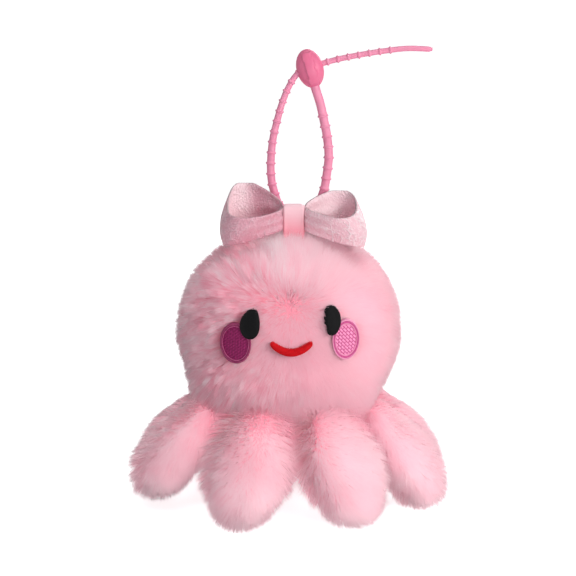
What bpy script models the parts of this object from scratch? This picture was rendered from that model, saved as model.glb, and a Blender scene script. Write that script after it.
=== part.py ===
# Plush octopus bag charm with a bow and a ribbed hanging strap.
# Metres, +Z up. The front faces -Y. The origin is on the ground, under the middle of the ring of legs.

import math

import bmesh
import bpy
import numpy as np
from mathutils import Matrix, Vector

# Sizes shared by several pieces
CLEARANCE = 0.0003  # left between pieces that meet
OVERRUN = 0.010  # how far a cutter runs past what it cuts
COVER_THICKNESS = 0.0045  # fur fabric, backing and pile together
STUFFING_SLACK = 0.0007  # between a leg's stuffing and its cover
LEAST_HALF_WIDTH = 0.0004  # where a hidden end narrows to nothing

# Head, a squarish stuffed ball
HEAD_HALF_WIDTH = 0.0412
HEAD_HALF_DEPTH = 0.0365
HEAD_HALF_HEIGHT = 0.0364
HEAD_UNDERSIDE = 0.0282  # above the ground
HEAD_BASE_RADIUS = 0.0155  # closing panel underneath
HEAD_PLAN_POWER = 2.15
HEAD_SIDE_POWER = 2.4
HEAD_COLUMNS = 28
HEAD_ROWS = 15
HEAD_CENTRE = HEAD_UNDERSIDE + HEAD_HALF_HEIGHT
HEAD_HALVES = (HEAD_HALF_WIDTH, HEAD_HALF_DEPTH, HEAD_HALF_HEIGHT)

# Embroidered face
PATCH_DEPTH = 0.0013  # into the cover
PATCH_PROUD = 0.0003
FACE_OFFSET = 0.0008  # the face sits a little right of the head's middle
FACE_TILT = 0.0013  # the right eye and cheek sit this much higher
EYE_SPACING = 0.0298
EYE_HEIGHT = 0.0449  # above the head's underside
EYE_HALF_WIDTH = 0.0037
EYE_HALF_HEIGHT = 0.0051
CHEEK_SPACING = 0.0402
CHEEK_HEIGHT = 0.0376
CHEEK_HALF_WIDTH = 0.0058
CHEEK_HALF_HEIGHT = 0.0072
MOUTH_HALF_WIDTH = 0.0072
MOUTH_HEIGHT = 0.0391  # at the corners
MOUTH_DROP = 0.0042  # from the corners to the middle of the smile
MOUTH_THICKNESS = 0.0026
MOUTH_TIP_THICKNESS = 0.0010
PATCH_SIDES = 20
MOUTH_STEPS = 10

# Legs: each is a tapered stuffed tube that droops from under the head
LEG_SIDE_REACH = 0.0478  # to the middle of the foot
LEG_FRONT_REACH = 0.0448
LEG_ROOT_REACH = 0.0200
LEG_ROOT_RISE = 0.0165  # above the head's underside, inside it
LEG_LIFT = 0.0040  # of the one foot that is held off the ground
LEG_ROOT_HALF_WIDTH = 0.0130
LEG_CALF_HALF_WIDTH = 0.0202  # what the width bends towards half-way down
LEG_FOOT_HALF_WIDTH = 0.0156
LEG_ROOT_HALF_THICKNESS = 0.0095
LEG_CALF_HALF_THICKNESS = 0.0138
LEG_FOOT_HALF_THICKNESS = 0.0120
LEG_TOE_LENGTH = 0.0180
LEG_SINK = 0.0022  # the foot's middle stands this much lower than the toe is long, for a flat sole
LEG_KNEE_SHARES = (0.76, 0.62)  # of the way out and down from root to foot
LEG_STATIONS = 7
LEG_TOE_STATIONS = 4
LEG_SIDES = 14
CORE_SIDES = 10
CORE_STATIONS = 5
CREASE_SEARCH_STEPS = 40
# Name, turn from the front towards +X in degrees, reach and lift
LEGS = (
    ("1", -70.0, LEG_SIDE_REACH, LEG_LIFT),
    ("2", -21.0, LEG_FRONT_REACH, 0),
    ("3", 27.0, LEG_FRONT_REACH, 0),
    ("4", 70.0, LEG_SIDE_REACH, 0),
    ("5", 110.0, LEG_SIDE_REACH, 0),
    ("6", 153.0, LEG_FRONT_REACH, 0),
    ("7", 201.0, LEG_FRONT_REACH, 0),
    ("8", 250.0, LEG_SIDE_REACH, 0),
)

# Ribbed strap, a tapered band that passes through its own lock
STRAP_OFFSET = 0.0036  # right of the head's middle
LOOP_HALF_WIDTH = 0.0106
LOOP_HEIGHT = 0.0466  # from the bottom of the loop to the root at the lock
TAIL_LENGTH = 0.0450  # past the lock
BAND_ROOT_RADIUS = 0.0017
BAND_LOOP_RADIUS = 0.0014
BAND_TAIL_RADIUS = 0.0010
BAND_TAPER_SHARES = (0, 0.5, 0.7, 1)
RIB_RISE = 0.00042
RIB_HALF_LENGTH = 0.00055
RIB_PITCH = 0.0039
SMOOTH_ROOT_LENGTH = 0.0104
SMOOTH_TAIL_LENGTH = 0.0143
BAND_BEVEL_RESOLUTION = 2
ROUTE_STEPS = 24
LOCK_HALF_WIDTH = 0.0050
LOCK_HALF_DEPTH = 0.0040
LOCK_HALF_HEIGHT = 0.0073
LOCK_TILT_DEG = -16.0
LOCK_COLUMNS = 16
LOCK_ROWS = 10
LOCK_POWER = 2.2
# Band route from the root to the tip: across in shares of the loop's half width, up in shares of its height
ROUTE_LOOP_SHARES = (
    (0.58, 1.0),
    (0.74, 0.885),
    (0.86, 0.765),
    (0.985, 0.62),
    (1.045, 0.46),
    (0.96, 0.29),
    (0.86, 0.18),
    (0.60, 0.06),
    (0.0, 0.0),
    (-0.62, 0.06),
    (-0.87, 0.19),
    (-0.965, 0.30),
    (-0.975, 0.435),
    (-0.90, 0.605),
    (-0.735, 0.765),
    (-0.59, 0.88),
    (-0.36, 1.01),
    (-0.05, 1.115),
)
# Tail route from the lock's middle: along and up in shares of the tail's length
ROUTE_TAIL_SHARES = (
    (0.075, 0.033),
    (0.225, 0.075),
    (0.40, 0.110),
    (0.60, 0.142),
    (0.80, 0.163),
    (1.0, 0.156),
)
LOCK_ACROSS_SHARE = 0.385  # of the loop's half width
LOCK_RISE_SHARE = 1.158  # of the loop's height

# Fabric tab that holds the strap to the head
TAB_WIDTH = 0.0050
TAB_THICKNESS = 0.0008
TAB_STEM_THICKNESS = 0.0019
TAB_STEM_SINK = 0.0035  # into the head's top seam
TAB_RISE = 0.0073  # of the strap's seat above the head's top
TAB_SIDES = 20

# Ribbon bow
BOW_OFFSET = 0.0017  # right of the head's middle
BOW_HALF_SPAN = 0.0271
BOW_RIBBON_THICKNESS = 0.0012
BOW_BACK_DEPTH = 0.0070  # each side of the bow's middle plane
BOW_FRONT_DEPTH = 0.0078
BOW_FRONT_LEAN = 0.0020
BOW_KNOT_HEIGHT = 0.0106
BOW_LEFT_RISE = 0.0080  # of the back wall above the knot's top
BOW_RIGHT_RISE = 0.0052
BOW_FRONT_DROP = 0.0026
BOW_END_DROP = 0.0032
BOW_BELLY = 0.0006
BOW_STRAP_GAP = 0.0009
BOW_STATIONS = 10
BOW_LEVELS = 4
BOW_ROUND_SHARE = 0.55
KNOT_WIDTH = 0.0080
KNOT_THICKNESS = 0.0008
KNOT_CORNER_SIDES = 4


for leftover in list(bpy.data.objects):
    bpy.data.objects.remove(leftover, do_unlink=True)


# Shared helpers


def make_material(name, colour, roughness):
    material = bpy.data.materials.new(name)
    material.use_nodes = True
    shader = material.node_tree.nodes["Principled BSDF"]
    shader.inputs["Base Color"].default_value = (*colour, 1.0)
    shader.inputs["Roughness"].default_value = roughness
    return material


def add_piece(name, points, faces, material, smooth=True):
    mesh = bpy.data.meshes.new(name)
    mesh.from_pydata([tuple(map(float, p)) for p in points], [], faces)
    shell = bmesh.new()
    shell.from_mesh(mesh)
    bmesh.ops.recalc_face_normals(shell, faces=shell.faces)
    bmesh.ops.triangulate(shell, faces=shell.faces, quad_method="FIXED")
    shell.to_mesh(mesh)
    shell.free()
    if smooth:
        mesh.shade_smooth()
        mesh.set_sharp_from_angle(angle=math.radians(50))
    mesh.materials.append(material)
    piece = bpy.data.objects.new(name, mesh)
    bpy.context.collection.objects.link(piece)
    return piece


def as_mesh(piece):
    bpy.context.view_layer.update()
    graph = bpy.context.evaluated_depsgraph_get()
    return bpy.data.meshes.new_from_object(piece.evaluated_get(graph))


def combine(piece, tool, operation):
    step = piece.modifiers.new(operation.lower(), "BOOLEAN")
    step.operation = operation
    step.object = tool
    shaped = as_mesh(piece)
    piece.modifiers.clear()
    piece.data = shaped


def cut(piece, tool):
    combine(piece, tool, "DIFFERENCE")


def remove_pieces(*pieces):
    for piece in pieces:
        bpy.data.objects.remove(piece, do_unlink=True)


def set_origin(piece, point):
    piece.data.transform(Matrix.Translation(-point))
    piece.location = point


def closed_loft(rings, start_point=None, end_point=None):
    """Points and faces of a tube through rings of equal count, its ends flat or drawn to a point."""
    count = len(rings[0])
    points = [p for ring in rings for p in ring]
    faces = []
    for row in range(len(rings) - 1):
        for side in range(count):
            a = row * count + side
            b = row * count + (side + 1) % count
            faces.append((a, b, b + count, a + count))
    last = (len(rings) - 1) * count
    if start_point is None:
        faces.append(tuple(range(count)))
    else:
        points.append(start_point)
        tip = len(points) - 1
        faces.extend((side, tip, (side + 1) % count) for side in range(count))
    if end_point is None:
        faces.append(tuple(last + side for side in range(count)))
    else:
        points.append(end_point)
        tip = len(points) - 1
        faces.extend((last + side, last + (side + 1) % count, tip) for side in range(count))
    return points, faces


def box_solid(name, low, high, material):
    corners = [(x, y, z) for x in (low[0], high[0]) for y in (low[1], high[1]) for z in (low[2], high[2])]
    faces = [(0, 1, 3, 2), (4, 6, 7, 5), (0, 4, 5, 1), (2, 3, 7, 6), (0, 2, 6, 4), (1, 5, 7, 3)]
    return add_piece(name, corners, faces, material, smooth=False)


FUR = make_material("pink_fur", (0.86, 0.47, 0.56), 0.9)
FIBRE = make_material("white_fibre", (0.85, 0.85, 0.83), 1.0)
BLACK_THREAD = make_material("black_thread", (0.01, 0.01, 0.012), 0.6)
CHEEK_THREAD = make_material("magenta_thread", (0.72, 0.14, 0.40), 0.6)
RED_THREAD = make_material("red_thread", (0.72, 0.01, 0.02), 0.6)
JACQUARD = make_material("pale_jacquard", (0.82, 0.53, 0.60), 0.7)
SATIN = make_material("pink_satin", (0.85, 0.40, 0.50), 0.45)
STRAP_RUBBER = make_material("pink_rubber", (0.85, 0.18, 0.38), 0.45)


# Head


def reach_of_shape(x, y, z):
    """1 on a unit squarish ball, less inside it."""
    plan = abs(x) ** HEAD_PLAN_POWER + abs(y) ** HEAD_PLAN_POWER
    return (plan ** (HEAD_SIDE_POWER / HEAD_PLAN_POWER) + abs(z) ** HEAD_SIDE_POWER) ** (1 / HEAD_SIDE_POWER)


def head_reach(x, y, z, grow):
    """1 on the head's surface, grown by a clearance."""
    half_width, half_depth, half_height = (half + grow for half in HEAD_HALVES)
    return reach_of_shape(x / half_width, y / half_depth, (z - HEAD_CENTRE) / half_height)


def head_point(row_angle, column_angle, grow):
    along = Vector((math.sin(row_angle) * math.cos(column_angle), math.sin(row_angle) * math.sin(column_angle)))
    up = math.cos(row_angle)
    share = 1 / reach_of_shape(along.x, along.y, up)
    half_width, half_depth, half_height = (half + grow for half in HEAD_HALVES)
    return (along.x * share * half_width, along.y * share * half_depth, up * share * half_height + HEAD_CENTRE)


def head_top_at(y):
    """Height of the cover's surface on the middle plane."""
    flat_share = (abs(y) / HEAD_HALF_DEPTH) ** HEAD_SIDE_POWER
    return HEAD_CENTRE + HEAD_HALF_HEIGHT * (1 - flat_share) ** (1 / HEAD_SIDE_POWER)


def base_angle(radius):
    """Row angle, near the bottom, at which the head's surface is this far out at the side."""
    low, high = math.pi / 2, math.pi
    for _ in range(CREASE_SEARCH_STEPS):
        middle = (low + high) / 2
        if head_point(middle, 0, 0)[0] > radius:
            low = middle
        else:
            high = middle
    return low


def head_solid(name, grow, material):
    columns = [math.tau * column / HEAD_COLUMNS for column in range(HEAD_COLUMNS)]
    rows = [math.pi * row / HEAD_ROWS for row in range(1, HEAD_ROWS)]
    rings = [[head_point(row, column, grow) for column in columns] for row in rows]
    top = head_point(0, 0, grow)
    bottom = head_point(math.pi, 0, grow)
    return add_piece(name, *closed_loft(rings, top, bottom), material)


def half_shell(name, side, material):
    """Half of the head's cover: front with side -1, back with side 1."""
    hole = base_angle(HEAD_BASE_RADIUS + CLEARANCE)
    half_columns = HEAD_COLUMNS // 2
    columns = [side * math.pi * column / half_columns for column in range(half_columns + 1)]
    rows = [hole * row / (HEAD_ROWS - 1) for row in range(1, HEAD_ROWS)]
    seam = side * CLEARANCE / 2
    points = []
    for grow in (0, -COVER_THICKNESS):
        for row in rows:
            for column in columns:
                x, y, z = head_point(row, column, grow)
                points.append((x, side * max(abs(y), abs(seam)), z))
    tops = []
    for grow in (0, -COVER_THICKNESS):
        x, _, z = head_point(0, 0, grow)
        tops.append(len(points))
        points.append((x, seam, z))
    width = len(columns)
    layer = width * len(rows)
    faces = []
    for row in range(len(rows) - 1):
        for column in range(half_columns):
            a = row * width + column
            faces.append((a, a + 1, a + 1 + width, a + width))
            faces.append((layer + a, layer + a + width, layer + a + 1 + width, layer + a + 1))
    for column in range(half_columns):
        faces.append((column, tops[0], column + 1))
        faces.append((layer + column, layer + column + 1, tops[1]))
        a = (len(rows) - 1) * width + column
        faces.append((a, a + 1, layer + a + 1, layer + a))
    for edge in (0, half_columns):
        for row in range(len(rows) - 1):
            a = row * width + edge
            faces.append((a, a + width, layer + a + width, layer + a))
        faces.append((edge, layer + edge, tops[1], tops[0]))
    return add_piece(name, points, faces, material)


def make_base_panel():
    rim = base_angle(HEAD_BASE_RADIUS)
    columns = [math.tau * column / HEAD_COLUMNS for column in range(HEAD_COLUMNS)]
    rows = [rim + (math.pi - rim) * row / 3 for row in range(3)]
    outer = [[head_point(row, column, 0) for column in columns] for row in rows]
    inner = [[head_point(row, column, -COVER_THICKNESS) for column in columns] for row in reversed(rows)]
    bottom = head_point(math.pi, 0, 0)
    inside = head_point(math.pi, 0, -COVER_THICKNESS)
    rings = list(reversed(outer)) + list(reversed(inner))
    return add_piece("base_panel", *closed_loft(rings, bottom, inside), FUR)


# Embroidered patches, cut from the head's own surface


def oval_outline(centre_x, centre_z, half_width, half_height, grow):
    angles = [math.tau * side / PATCH_SIDES for side in range(PATCH_SIDES)]
    wide = half_width + grow
    high = half_height + grow
    return [(centre_x + wide * math.cos(angle), centre_z + high * math.sin(angle)) for angle in angles]


def smile_outline(grow):
    """Closed outline of the mouth: along its lower edge, back along its upper edge."""
    lower = []
    upper = []
    for step in range(MOUTH_STEPS + 1):
        share = 2 * step / MOUTH_STEPS - 1
        x = FACE_OFFSET + share * (MOUTH_HALF_WIDTH + grow)
        middle = HEAD_UNDERSIDE + MOUTH_HEIGHT - MOUTH_DROP * (1 - share**2)
        half = (MOUTH_TIP_THICKNESS + (MOUTH_THICKNESS - MOUTH_TIP_THICKNESS) * (1 - share**2)) / 2 + grow
        lower.append((x, middle - half))
        upper.append((x, middle + half))
    return lower + upper[::-1]


def patch_prism(name, outline):
    """An outline in X and Z drawn along Y, from the head's middle plane out past its face."""
    front = [(x, -HEAD_HALF_DEPTH - OVERRUN, z) for x, z in outline]
    back = [(x, 0, z) for x, z in outline]
    return add_piece(name, *closed_loft([front, back]), FUR, smooth=False)


def make_patch(name, outline_at, cover, material, trimmed_by=None):
    """A patch a little proud of the cover, and the pocket that it sits in."""
    proud = head_solid("proud_surface", PATCH_PROUD, material)
    deep = head_solid("deep_surface", -PATCH_DEPTH, material)
    deeper = head_solid("pocket_floor", -PATCH_DEPTH - CLEARANCE, material)
    patch = patch_prism(name, outline_at(0))
    patch.data.materials.clear()
    patch.data.materials.append(material)
    combine(patch, proud, "INTERSECT")
    cut(patch, deep)
    pocket = patch_prism("pocket", outline_at(CLEARANCE))
    cut(pocket, deeper)
    if trimmed_by is not None:
        nearby = patch_prism("nearby", trimmed_by(CLEARANCE))
        cut(patch, nearby)
        remove_pieces(nearby)
    cut(cover, pocket)
    remove_pieces(proud, deep, deeper, pocket)
    return patch


def eye_outline(side):
    def outline(grow):
        centre_x = FACE_OFFSET + side * EYE_SPACING / 2
        centre_z = HEAD_UNDERSIDE + EYE_HEIGHT + FACE_TILT * max(side, 0)
        return oval_outline(centre_x, centre_z, EYE_HALF_WIDTH, EYE_HALF_HEIGHT, grow)

    return outline


def cheek_outline(side):
    def outline(grow):
        centre_x = FACE_OFFSET + side * CHEEK_SPACING / 2
        centre_z = HEAD_UNDERSIDE + CHEEK_HEIGHT + FACE_TILT * max(side, 0)
        return oval_outline(centre_x, centre_z, CHEEK_HALF_WIDTH, CHEEK_HALF_HEIGHT, grow)

    return outline


# Legs


def leg_frame(turn_deg):
    """Outward and sideways directions of a leg."""
    turn = math.radians(turn_deg)
    outward = Vector((math.sin(turn), -math.cos(turn), 0))
    sideways = Vector((math.cos(turn), math.sin(turn), 0))
    return outward, sideways


def leg_line(reach, lift):
    """Root, knee and foot of a leg's middle line, as distance out and height."""
    root = Vector((LEG_ROOT_REACH, HEAD_UNDERSIDE + LEG_ROOT_RISE))
    foot_height = LEG_TOE_LENGTH - LEG_SINK + lift
    foot = Vector((reach, foot_height))
    knee = Vector(
        (
            root.x + (foot.x - root.x) * LEG_KNEE_SHARES[0],
            root.y + (foot.y - root.y) * LEG_KNEE_SHARES[1],
        )
    )
    return root, knee, foot


def line_at(line, share):
    root, knee, foot = line
    place = root * (1 - share) ** 2 + knee * (2 * share * (1 - share)) + foot * share**2
    along = ((knee - root) * (1 - share) + (foot - knee) * share).normalized()
    above = Vector((-along.y, along.x))
    return place, along, above


def leg_half_sizes(share, inset):
    root = (1 - share) ** 2
    calf = 2 * share * (1 - share)
    foot = share**2
    half_width = LEG_ROOT_HALF_WIDTH * root + LEG_CALF_HALF_WIDTH * calf + LEG_FOOT_HALF_WIDTH * foot
    half_thickness = LEG_ROOT_HALF_THICKNESS * root + LEG_CALF_HALF_THICKNESS * calf
    half_thickness = half_thickness + LEG_FOOT_HALF_THICKNESS * foot
    return half_width - inset, half_thickness - inset


def leg_solid(name, number, inset, sides, stations, material):
    """A leg's tube, kept inside the wedge between its neighbours."""
    _, turn_deg, reach, lift = LEGS[number]
    next_turn = LEGS[(number + 1) % len(LEGS)][1]
    last_turn = LEGS[number - 1][1]
    half_next = math.radians((next_turn - turn_deg) % 360) / 2
    half_last = math.radians((turn_deg - last_turn) % 360) / 2
    outward, sideways = leg_frame(turn_deg)
    line = leg_line(reach, lift)
    side_gap = CLEARANCE / 2 + inset

    def placed(out, across, up):
        most = out * math.tan(half_next) - side_gap / math.cos(half_next)
        least = out * math.tan(half_last) - side_gap / math.cos(half_last)
        across = min(across, max(most, LEAST_HALF_WIDTH))
        across = max(across, -max(least, LEAST_HALF_WIDTH))
        return outward * out + sideways * across + Vector((0, 0, up))

    angles = [math.tau * (side + 0.5) / sides for side in range(sides)]
    rings = []
    for station in range(stations + 1):
        share = station / stations
        place, along, above = line_at(line, share)
        half_width, half_thickness = leg_half_sizes(share, inset)
        ring = []
        for angle in angles:
            rise = half_thickness * math.sin(angle)
            spot = place + above * rise
            ring.append(placed(spot.x, half_width * math.cos(angle), spot.y))
        rings.append(ring)
    place, along, above = line_at(line, 1)
    half_width, half_thickness = leg_half_sizes(1, inset)
    toe = LEG_TOE_LENGTH - inset
    for station in range(1, LEG_TOE_STATIONS):
        bend = math.pi / 2 * station / LEG_TOE_STATIONS
        ring = []
        for angle in angles:
            rise = half_thickness * math.sin(angle) * math.cos(bend)
            spot = place + along * (toe * math.sin(bend)) + above * rise
            ring.append(placed(spot.x, half_width * math.cos(angle) * math.cos(bend), spot.y))
        rings.append(ring)
    tip = place + along * toe
    points, faces = closed_loft(rings, None, placed(tip.x, 0, tip.y))
    return add_piece(name, points, faces, material)


def ground_block():
    reach = LEG_SIDE_REACH + LEG_TOE_LENGTH + OVERRUN
    return box_solid("ground_block", (-reach, -reach, -OVERRUN), (reach, reach, 0), FUR)


def crease_point(number):
    """Where the top of a leg meets the head: the line that the leg folds about."""
    _, turn_deg, reach, lift = LEGS[number]
    outward, _ = leg_frame(turn_deg)
    line = leg_line(reach, lift)
    low, high = 0.0, 1.0
    for _ in range(CREASE_SEARCH_STEPS):
        share = (low + high) / 2
        place, _, above = line_at(line, share)
        spot = place + above * leg_half_sizes(share, 0)[1]
        point = outward * spot.x + Vector((0, 0, spot.y))
        if head_reach(point.x, point.y, point.z, CLEARANCE) < 1:
            low = share
        else:
            high = share
    return point


def make_leg(number, head_block, ground):
    label = LEGS[number][0]
    hinge = crease_point(number)
    cover = leg_solid("leg_cover_" + label, number, 0, LEG_SIDES, LEG_STATIONS, FUR)
    inside = leg_solid("inside", number, COVER_THICKNESS, CORE_SIDES, CORE_STATIONS, FUR)
    core_inset = COVER_THICKNESS + STUFFING_SLACK
    stuffing = leg_solid("leg_stuffing_" + label, number, core_inset, CORE_SIDES, CORE_STATIONS, FIBRE)
    cut(cover, head_block)
    cut(cover, inside)
    cut(cover, ground)
    cut(stuffing, head_block)
    remove_pieces(inside)
    set_origin(cover, hinge)
    set_origin(stuffing, hinge)
    return cover, stuffing


# Strap


def strap_seat():
    """Middle of the band at the bottom of its loop, where it hangs in the tab."""
    return Vector((STRAP_OFFSET, 0, head_top_at(0) + TAB_RISE))


def lock_middle():
    seat = strap_seat()
    across = LOOP_HALF_WIDTH * LOCK_ACROSS_SHARE
    return Vector((seat.x + across, 0, seat.z + LOOP_HEIGHT * LOCK_RISE_SHARE))


def route_points():
    seat = strap_seat()
    lock = lock_middle()
    points = [
        Vector((seat.x + LOOP_HALF_WIDTH * across, 0, seat.z + LOOP_HEIGHT * up))
        for across, up in ROUTE_LOOP_SHARES
    ]
    points.append(lock)
    points.extend(
        Vector((lock.x + TAIL_LENGTH * along, 0, lock.z + TAIL_LENGTH * up)) for along, up in ROUTE_TAIL_SHARES
    )
    return points


def smooth_route():
    """A fine line through the route's points, a smooth curve from one to the next."""
    points = route_points()
    line = []
    for index in range(len(points) - 1):
        before = points[max(index - 1, 0)]
        start = points[index]
        end = points[index + 1]
        after = points[min(index + 2, len(points) - 1)]
        for step in range(ROUTE_STEPS):
            t = step / ROUTE_STEPS
            line.append(
                (
                    start * 2
                    + (end - before) * t
                    + (before * 2 - start * 5 + end * 4 - after) * t**2
                    + (start * 3 - before - end * 3 + after) * t**3
                )
                / 2
            )
    line.append(points[-1])
    return line


def route_lengths(line):
    lengths = [0.0]
    for index in range(1, len(line)):
        lengths.append(lengths[-1] + (line[index] - line[index - 1]).length)
    return lengths


def band_radius(distance, whole):
    places = [whole * share for share in BAND_TAPER_SHARES]
    radii = (BAND_ROOT_RADIUS, BAND_LOOP_RADIUS, BAND_TAIL_RADIUS, BAND_TAIL_RADIUS)
    return float(np.interp(distance, places, radii))


def add_tube(name, centres, radii, material):
    """An unbroken round tube along a line, of a radius given at each point."""
    curve = bpy.data.curves.new(name, "CURVE")
    curve.dimensions = "3D"
    curve.bevel_depth = BAND_ROOT_RADIUS
    curve.bevel_resolution = BAND_BEVEL_RESOLUTION
    curve.use_fill_caps = True
    spline = curve.splines.new("POLY")
    spline.points.add(len(centres) - 1)
    for point, centre, radius in zip(spline.points, centres, radii):
        point.co = (*centre, 1)
        point.radius = radius / BAND_ROOT_RADIUS
    curve.materials.append(material)
    tube = bpy.data.objects.new(name, curve)
    bpy.context.collection.objects.link(tube)
    return tube


def tube_cutter(name, centres, radius):
    """The same round tube as a plain solid, to cut a passage with."""
    tube = add_tube(name, centres, [radius] * len(centres), STRAP_RUBBER)
    shape = as_mesh(tube)
    remove_pieces(tube)
    cutter = bpy.data.objects.new(name, shape)
    bpy.context.collection.objects.link(cutter)
    return cutter


def rib_places(whole):
    places = []
    place = SMOOTH_ROOT_LENGTH
    while place < whole - SMOOTH_TAIL_LENGTH:
        places.append(place)
        place += RIB_PITCH
    return places


def make_band():
    line = smooth_route()
    lengths = route_lengths(line)
    whole = lengths[-1]
    stations = [(0.0, 0.0), (SMOOTH_ROOT_LENGTH / 3, 0.0), (SMOOTH_ROOT_LENGTH * 2 / 3, 0.0)]
    for place in rib_places(whole):
        stations.append((place - RIB_HALF_LENGTH, 0.0))
        stations.append((place, RIB_RISE))
        stations.append((place + RIB_HALF_LENGTH, 0.0))
    smooth_start = stations[-1][0]
    for share in (0.25, 0.5, 0.75, 1.0):
        stations.append((smooth_start + (whole - smooth_start) * share, 0.0))
    centres = []
    radii = []
    for distance, rise in stations:
        centres.append([float(np.interp(distance, lengths, [p[axis] for p in line])) for axis in range(3)])
        radii.append(band_radius(distance, whole) + rise)
    return add_tube("ribbed_band", centres, radii, STRAP_RUBBER)


def make_lock():
    """An oval bead, leaning left, with a passage for the band cut along its own route."""
    middle = lock_middle()
    turn = Matrix.Rotation(math.radians(LOCK_TILT_DEG), 3, "Y")
    rings = []
    for row in range(1, LOCK_ROWS):
        row_angle = math.pi * row / LOCK_ROWS
        ring = []
        for column in range(LOCK_COLUMNS):
            column_angle = math.tau * column / LOCK_COLUMNS
            x = math.sin(row_angle) * math.cos(column_angle)
            y = math.sin(row_angle) * math.sin(column_angle)
            z = math.cos(row_angle)
            size = (abs(x) ** LOCK_POWER + abs(y) ** LOCK_POWER + abs(z) ** LOCK_POWER) ** (1 / LOCK_POWER)
            spot = Vector((x * LOCK_HALF_WIDTH, y * LOCK_HALF_DEPTH, z * LOCK_HALF_HEIGHT)) / size
            ring.append(middle + turn @ spot)
        rings.append(ring)
    top = middle + turn @ Vector((0, 0, LOCK_HALF_HEIGHT))
    bottom = middle - turn @ Vector((0, 0, LOCK_HALF_HEIGHT))
    lock = add_piece("strap_lock", *closed_loft(rings, top, bottom), STRAP_RUBBER)
    line = smooth_route()
    lengths = route_lengths(line)
    whole = lengths[-1]
    at_lock = lengths[(len(ROUTE_LOOP_SHARES)) * ROUTE_STEPS]
    reach = LOCK_HALF_HEIGHT
    places = [at_lock + reach * share for share in (-1.0, -0.5, 0.0, 0.5, 1.0)]
    radius = band_radius(at_lock - reach, whole) + RIB_RISE + CLEARANCE
    centres = [[float(np.interp(place, lengths, [p[axis] for p in line])) for axis in range(3)] for place in places]
    passage = tube_cutter("passage", centres, radius)
    cut(lock, passage)
    root = line[0]
    below = [root + Vector((0, 0, -OVERRUN)), root + Vector((0, 0, CLEARANCE))]
    socket = tube_cutter("socket", below, BAND_ROOT_RADIUS + CLEARANCE)
    cut(lock, socket)
    remove_pieces(passage, socket)
    return lock


def make_tab():
    """A ribbon eye round the band, on a stem that goes down into the head's top seam."""
    seat = strap_seat()
    eye_radius = BAND_LOOP_RADIUS + RIB_RISE + TAB_THICKNESS
    low = seat.x - TAB_WIDTH / 2
    high = seat.x + TAB_WIDTH / 2
    angles = [math.tau * side / TAB_SIDES for side in range(TAB_SIDES)]

    def disc(x, radius):
        return [(x, radius * math.sin(angle), seat.z + radius * math.cos(angle)) for angle in angles]

    outer = eye_radius + TAB_THICKNESS
    tab = add_piece("hanging_tab", *closed_loft([disc(low, outer), disc(high, outer)]), SATIN)
    stem_low = (low, -TAB_STEM_THICKNESS / 2, head_top_at(0) - TAB_STEM_SINK)
    stem_high = (high, TAB_STEM_THICKNESS / 2, seat.z - eye_radius)
    stem = box_solid("stem", stem_low, stem_high, SATIN)
    combine(tab, stem, "UNION")
    through = closed_loft([disc(low - OVERRUN, eye_radius), disc(high + OVERRUN, eye_radius)])
    eye = add_piece("eye", *through, SATIN)
    cut(tab, eye)
    remove_pieces(stem, eye)
    return tab


def cut_tab_slot(*covers):
    seat = strap_seat()
    half = TAB_WIDTH / 2 + CLEARANCE
    depth = TAB_STEM_THICKNESS / 2 + CLEARANCE
    low = (seat.x - half, -depth, head_top_at(0) - TAB_STEM_SINK - CLEARANCE)
    high = (seat.x + half, depth, head_top_at(0) + OVERRUN)
    slot = box_solid("slot", low, high, FUR)
    for cover in covers:
        cut(cover, slot)
    remove_pieces(slot)


# Bow


def bow_pinch():
    """From the bow's middle plane to the middle of each layer of ribbon under the knot."""
    return BOW_RIBBON_THICKNESS / 2 + CLEARANCE / 2


def bow_plane():
    """Y of the bow's middle plane, which keeps the back of its loops clear of the strap."""
    band = BAND_LOOP_RADIUS + RIB_RISE
    return -(band + BOW_STRAP_GAP + BOW_BELLY + BOW_RIBBON_THICKNESS / 2 + BOW_BACK_DEPTH)


def knot_heights():
    back = bow_plane() + bow_pinch() + BOW_RIBBON_THICKNESS / 2 + KNOT_THICKNESS + CLEARANCE
    bottom = head_top_at(back) + KNOT_THICKNESS + CLEARANCE * 2
    return bottom, bottom + BOW_KNOT_HEIGHT


def bow_station(side, turn):
    """Plan place, bottom, top and lean of the ribbon at a turn round one loop, from -pi in front to pi behind."""
    start = KNOT_WIDTH / 2 + CLEARANCE
    along = (1 + math.cos(turn)) / 2
    x = start + (BOW_HALF_SPAN - start) * along
    swell = math.sin(abs(turn)) ** 0.9 * (1 - BOW_ROUND_SHARE * (1 - along)) / (1 - BOW_ROUND_SHARE / 2)
    end_ease = 1 - along**4
    if turn < 0:
        y = -bow_pinch() * end_ease - (BOW_FRONT_DEPTH - bow_pinch()) * swell
        top_shift = -BOW_FRONT_DROP * swell
        lean = -BOW_FRONT_LEAN * swell
    else:
        rise = BOW_LEFT_RISE if side < 0 else BOW_RIGHT_RISE
        y = bow_pinch() * end_ease + (BOW_BACK_DEPTH - bow_pinch()) * swell
        top_shift = rise * min(swell, 1)
        lean = 0
    bottom, top = knot_heights()
    return side * x, y, bottom - BOW_END_DROP * along**0.7, top + top_shift, lean


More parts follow.
